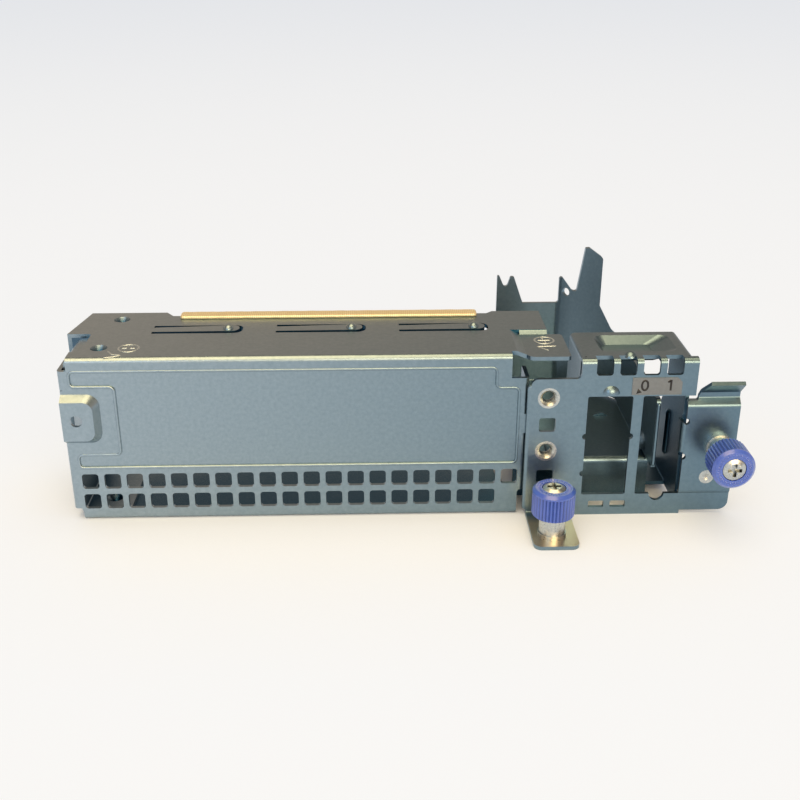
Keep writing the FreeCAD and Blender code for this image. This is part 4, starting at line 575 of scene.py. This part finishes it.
def head_boss(name, turn, place_of):
    """A low dome: the radius falls as the cosine and the height grows as the sine of one angle.

    The angle starts BOSS_SINK below zero, which sinks the dome's foot into the head.
    """
    rise = np.linspace(-BOSS_SINK, math.pi / 2, 7)[:, None]
    around = np.linspace(0, -2 * math.pi, 20, endpoint=False)[None]
    across = BOSS_RING * np.array([math.cos(turn), math.sin(turn)])
    points = np.stack([
        across[0] + BOSS_RADIUS * np.cos(rise) * np.cos(around),
        across[1] + BOSS_RADIUS * np.cos(rise) * np.sin(around),
        HEAD_TOP + BOSS_HEIGHT * np.sin(rise) + 0 * around], -1)
    return skin(name, place_of(points), bright_steel, around=True)


for side, place_of in (("foot", foot_place), ("wing", wing_place)):
    thread = screwed_ridge(f"{side}_screw_thread", SCREW_ROOT, SCREW_RIDGE, SCREW_THREAD_ENDS, place_of)
    bosses = [head_boss(f"{side}_head_boss_{i}", math.radians(45 + 90 * i), place_of) for i in range(4)]
    for piece in [thread, *bosses]:
        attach(piece, f"{side}_thumbscrew")

# The knobs: moulded in a violet blue plastic over the screw heads, with a grip of upright grooves,
# a smooth rim, and a ring of fine teeth on the end face.

# Glass filled nylon from a polished mould: a deep blue body under a clear, slightly hazy skin, with
# faint flow clouds, a fine speckle of fibre ends, and painted shade down in the grooves.
KNOB_SPECK_MM = 0.4
KNOB_FLOW_MM = 5.0
GROOVE_REACH = 0.0012
knob_plastic, tree = new_finish("moulded_violet_blue_nylon")
place = add(tree, "ShaderNodeTexCoord")
speck = add(tree, "ShaderNodeTexNoise", {
    "Vector": place.outputs["Object"], "Scale": 1000 / KNOB_SPECK_MM, "Detail": 2.0})
flow = add(tree, "ShaderNodeTexNoise", {
    "Vector": place.outputs["Object"], "Scale": 1000 / KNOB_FLOW_MM, "Detail": 2.0})
tone = add(tree, "ShaderNodeValToRGB", {"Fac": flow.outputs["Fac"]})
tone.color_ramp.elements[0].position = 0.3
tone.color_ramp.elements[0].color = linear("#3152b8")
tone.color_ramp.elements[1].position = 0.7
tone.color_ramp.elements[1].color = linear("#3e5fc4")
dull = add(tree, "ShaderNodeMapRange", {
    "Value": speck.outputs["Fac"], "From Min": 0.3, "From Max": 0.7, "To Min": 0.3, "To Max": 0.42})
bump = add(tree, "ShaderNodeBump", {
    "Height": speck.outputs["Fac"], "Strength": 0.1, "Distance": 0.00005})
# Painted shade: the colour darkens down in the grooves, where ambient occlusion finds little open air.
air = add(tree, "ShaderNodeAmbientOcclusion", {"Distance": GROOVE_REACH}, samples=8, only_local=True)
shaded = add(tree, "ShaderNodeMapRange", {
    "Value": air.outputs["AO"], "From Min": 0.35, "From Max": 0.85, "To Min": 0.35, "To Max": 1.0})
painted_groove_shade = add(tree, "ShaderNodeVectorMath", {
    0: tone.outputs["Color"], "Scale": shaded.outputs["Result"]}, operation="SCALE")
plastic = add(tree, "ShaderNodeBsdfPrincipled", {
    "Base Color": painted_groove_shade.outputs["Vector"], "Roughness": dull.outputs["Result"], "IOR": 1.53,
    "Coat Weight": 1.0, "Coat Roughness": 0.22, "Coat IOR": 1.6,
    "Subsurface Weight": 0.15, "Subsurface Radius": (0.3, 0.4, 1.0), "Subsurface Scale": 0.0008,
    "Normal": bump.outputs["Normal"]})
add(tree, "ShaderNodeOutputMaterial", {"Surface": plastic.outputs["BSDF"]})
coat(knob_plastic, "foot_knob", "wing_knob")
KNOB_TOP = 0.0140
TOOTH_COUNT = 36
TOOTH_HEIGHT = 0.00026
TOOTH_SINK = 0.00002
TOOTH_OUTER = 0.0042
TOOTH_BROAD = 0.0009


def tooth_ring(name, place_of):
    """A ring of teeth: the height is the upper half of a cosine round the ring, times a sine across it."""
    around = np.linspace(0, -2 * math.pi, TOOTH_COUNT * 8, endpoint=False)[None]
    share = np.linspace(0, 1, 9)[:, None]
    radius = TOOTH_OUTER - TOOTH_BROAD * share
    wave = np.clip(np.cos(TOOTH_COUNT * around), 0, 1) * np.sin(math.pi * share)
    level = KNOB_TOP - TOOTH_SINK + TOOTH_HEIGHT * wave
    points = np.stack([radius * np.cos(around), radius * np.sin(around), level], -1)
    return skin(name, place_of(points), knob_plastic, around=True)


for side, place_of in (("foot", foot_place), ("wing", wing_place)):
    teeth = tooth_ring(f"{side}_knob_teeth", place_of)
    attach(teeth, f"{side}_thumbscrew")

# The slot label: a grey polyester film printed with the two slots' numbers and a pointer,
# stuck to the bar between the cage's fold slits and its windows.

# Polyester film with a matt varnish: an even mid grey, half dull, with a faint fleck and orange peel.
FILM_FLECK_MM = 0.6
label_film, tree = new_finish("printed_polyester_film")
place = add(tree, "ShaderNodeTexCoord")
fleck = add(tree, "ShaderNodeTexNoise", {
    "Vector": place.outputs["Object"], "Scale": 1000 / FILM_FLECK_MM, "Detail": 2.0})
tone = add(tree, "ShaderNodeValToRGB", {"Fac": fleck.outputs["Fac"]})
tone.color_ramp.elements[0].color = linear("#5c6571")
tone.color_ramp.elements[1].color = linear("#6b7481")
bump = add(tree, "ShaderNodeBump", {
    "Height": fleck.outputs["Fac"], "Strength": 0.08, "Distance": 0.00005})
film = add(tree, "ShaderNodeBsdfPrincipled", {
    "Base Color": tone.outputs["Color"], "Roughness": 0.42, "IOR": 1.6, "Normal": bump.outputs["Normal"]})
add(tree, "ShaderNodeOutputMaterial", {"Surface": film.outputs["BSDF"]})
coat(label_film, "slot_label")

# Screen printed ink: near black, half dull, with a slightly uneven film.
INK_CLOUD_MM = 0.5
label_ink, tree = new_finish("screen_printed_black_ink")
place = add(tree, "ShaderNodeTexCoord")
uneven = add(tree, "ShaderNodeTexNoise", {
    "Vector": place.outputs["Object"], "Scale": 1000 / INK_CLOUD_MM, "Detail": 2.0})
tone = add(tree, "ShaderNodeValToRGB", {"Fac": uneven.outputs["Fac"]})
tone.color_ramp.elements[0].color = linear("#0f0f12")
tone.color_ramp.elements[1].color = linear("#232326")
ink = add(tree, "ShaderNodeBsdfPrincipled", {"Base Color": tone.outputs["Color"], "Roughness": 0.5})
add(tree, "ShaderNodeOutputMaterial", {"Surface": ink.outputs["BSDF"]})
LABEL_FRONT = 0.01105
INK_THICK = 0.00002
STROKE_WIDTH = 0.00050
POINTER_CORNERS = ((0.02059, 0.0335), (0.02193, 0.03385), (0.02098, 0.0349))


def printed_line(name, path, closed=False):
    """A flat stroke of ink: half its width to each side of the path, and the ink's thickness proud.

    The path lies in the label's face, across and up. An open stroke is closed at both ends.
    """
    left = sideways(path, closed) * STROKE_WIDTH / 2
    flat = np.stack([path + left, path + left, path - left, path - left], 1)
    depth = LABEL_FRONT - np.array([0, INK_THICK, INK_THICK, 0])
    points = np.stack([flat[..., 0], np.broadcast_to(depth, flat.shape[:2]), flat[..., 1]], -1)
    if not closed:
        middle = points.mean(1, keepdims=True)[[0, -1]] + np.zeros((2, 4, 1))
        points = np.concatenate([middle[:1], points, middle[1:]])
    return skin(name, points, label_ink, around=True, along=closed)


def printed_pointer(name):
    """A triangle: from its middle out to its corners on the ink's face, then back to the label."""
    corners = np.array(POINTER_CORNERS)
    middle = np.broadcast_to(corners.mean(0), corners.shape)
    flat = np.stack([corners, corners, middle])
    depth = np.array([LABEL_FRONT, LABEL_FRONT - INK_THICK, LABEL_FRONT - INK_THICK])
    points = np.stack([flat[..., 0], np.broadcast_to(depth[:, None], flat.shape[:2]), flat[..., 1]], -1)
    return skin(name, points, label_ink, around=True)


prints = [
    printed_line("label_digit_first", oval((22.57, 35.7), 0.74, 1.25), closed=True),
    printed_line("label_digit_second_flag", straight((28.15, 36.45), (28.8, 36.95))),
    printed_line("label_digit_second", straight((28.9, 37.1), (28.9, 34.3))),
    printed_pointer("label_pointer")]
for piece in prints:
    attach(piece, "frame")

# The floor: a wide pale board with a dull painted surface, on which the part stands. The camera and
# mirrors see most of it as an even white, which fades close to the part so that its shadow stays.
FLOOR_REACH = 8.0

# Dull white wall paint: no gloss, and the soft clouds that a roller leaves.
FLOOR_WHITE = 0.78
ROLLER_MM = 60.0
SHADOW_REACH = 0.07
floor_paint, tree = new_finish("pale_painted_board")
place = add(tree, "ShaderNodeTexCoord")
roller = add(tree, "ShaderNodeTexNoise", {
    "Vector": place.outputs["Object"], "Scale": 1000 / ROLLER_MM, "Detail": 2.0})
tone = add(tree, "ShaderNodeValToRGB", {"Fac": roller.outputs["Fac"]})
tone.color_ramp.elements[0].color = linear("#d9e2ee")
tone.color_ramp.elements[1].color = linear("#dbe4f0")
board = add(tree, "ShaderNodeBsdfDiffuse", {"Color": tone.outputs["Color"]})
white = add(tree, "ShaderNodeEmission", {"Color": linear("#f5f8fd"), "Strength": 1.0})
ray = add(tree, "ShaderNodeLightPath")
mirrored = add(tree, "ShaderNodeMath", {
    0: ray.outputs["Is Camera Ray"], 1: ray.outputs["Is Glossy Ray"]}, operation="MAXIMUM")
through = add(tree, "ShaderNodeMath", {
    0: mirrored.outputs["Value"], 1: ray.outputs["Is Transmission Ray"]}, operation="MAXIMUM")
air = add(tree, "ShaderNodeAmbientOcclusion", {"Distance": SHADOW_REACH}, samples=8)
clear = add(tree, "ShaderNodeMapRange", {
    "Value": air.outputs["AO"], "From Min": 0.25, "From Max": 0.95,
    "To Min": 0.0, "To Max": FLOOR_WHITE})
seen = add(tree, "ShaderNodeMath", {
    0: through.outputs["Value"], 1: clear.outputs["Result"]}, operation="MULTIPLY")
both = add(tree, "ShaderNodeMixShader", {
    0: seen.outputs["Value"], 1: board.outputs["BSDF"], 2: white.outputs["Emission"]})
add(tree, "ShaderNodeOutputMaterial", {"Surface": both.outputs["Shader"]})
sides = np.linspace(-FLOOR_REACH, FLOOR_REACH, 3)
floor_grid = np.stack([
    np.broadcast_to(sides[:, None], (3, 3)), np.broadcast_to(sides[None], (3, 3)), np.zeros((3, 3))], -1)
floor = skin("floor_board", floor_grid[:, ::-1], floor_paint)

# The light: a broad warm panel overhead, a warm one far out in front, a small cool one at the front
# left, and a room that is pale at the horizon, warm above it and dim overhead.
world = bpy.data.worlds.new("soft_studio")
bpy.context.scene.world = world
world.use_nodes = True
world.node_tree.nodes.clear()
tree = world.node_tree
toward = add(tree, "ShaderNodeTexCoord")
split = add(tree, "ShaderNodeSeparateXYZ", {"Vector": toward.outputs["Generated"]})
room = add(tree, "ShaderNodeValToRGB", {"Fac": split.outputs["Z"]})
room.color_ramp.elements[0].position = 0.0
room.color_ramp.elements[0].color = (0.80, 0.82, 0.85, 1)
room.color_ramp.elements[1].position = 0.08
room.color_ramp.elements[1].color = (0.45, 0.40, 0.37, 1)
for position, colour in (
        (0.16, (0.60, 0.46, 0.36, 1)), (0.40, (0.60, 0.46, 0.36, 1)), (0.60, (0.25, 0.22, 0.19, 1))):
    stop = room.color_ramp.elements.new(position)
    stop.color = colour
sky = add(tree, "ShaderNodeBackground", {"Color": room.outputs["Color"], "Strength": 1.0})
add(tree, "ShaderNodeOutputWorld", {"Surface": sky.outputs["Background"]})


def light_panel(name, spot, aim, wide, deep, colour, watts):
    """A soft panel light at a spot, turned to shine at the aim."""
    lamp = bpy.data.lights.new(name, "AREA")
    lamp.shape = "RECTANGLE"
    lamp.size = wide
    lamp.size_y = deep
    lamp.color = colour
    lamp.energy = watts
    stand = bpy.data.objects.new(name, lamp)
    bpy.context.scene.collection.objects.link(stand)
    stand.location = spot
    run = np.subtract(aim, spot)
    stand.rotation_euler = (
        math.atan2(math.hypot(run[0], run[1]), -run[2]), 0, math.atan2(run[1], run[0]) - math.pi / 2)


light_panel("key_panel", spot=(-0.14, -0.22, 1.25), aim=(-0.04, 0.0, 0.02), wide=1.0, deep=1.7,
            colour=(1.0, 0.73, 0.38), watts=19.5)
light_panel("far_panel", spot=(0.30, -1.10, 0.55), aim=(0.0, 0.0, 0.02), wide=0.8, deep=0.6,
            colour=(1.0, 0.77, 0.46), watts=10.5)
light_panel("front_panel", spot=(-0.55, -0.85, 0.45), aim=(-0.06, 0.0, 0.02), wide=0.6, deep=0.6,
            colour=(0.60, 0.80, 1.0), watts=1.8)

# The camera stands at the photograph's own view of the part.
lens = bpy.data.cameras.new("view")
lens.sensor_fit = "HORIZONTAL"
lens.sensor_width = 36.0
lens.lens = 48.85
lens.clip_start = 0.01
camera = bpy.data.objects.new("view", lens)
bpy.context.scene.collection.objects.link(camera)
camera.location = (-0.0436, -0.2291, 0.1388)
camera.rotation_euler = (math.radians(66.15), 0.0, math.radians(-1.618))
bpy.context.scene.camera = camera
bpy.context.scene.view_settings.view_transform = "Standard"
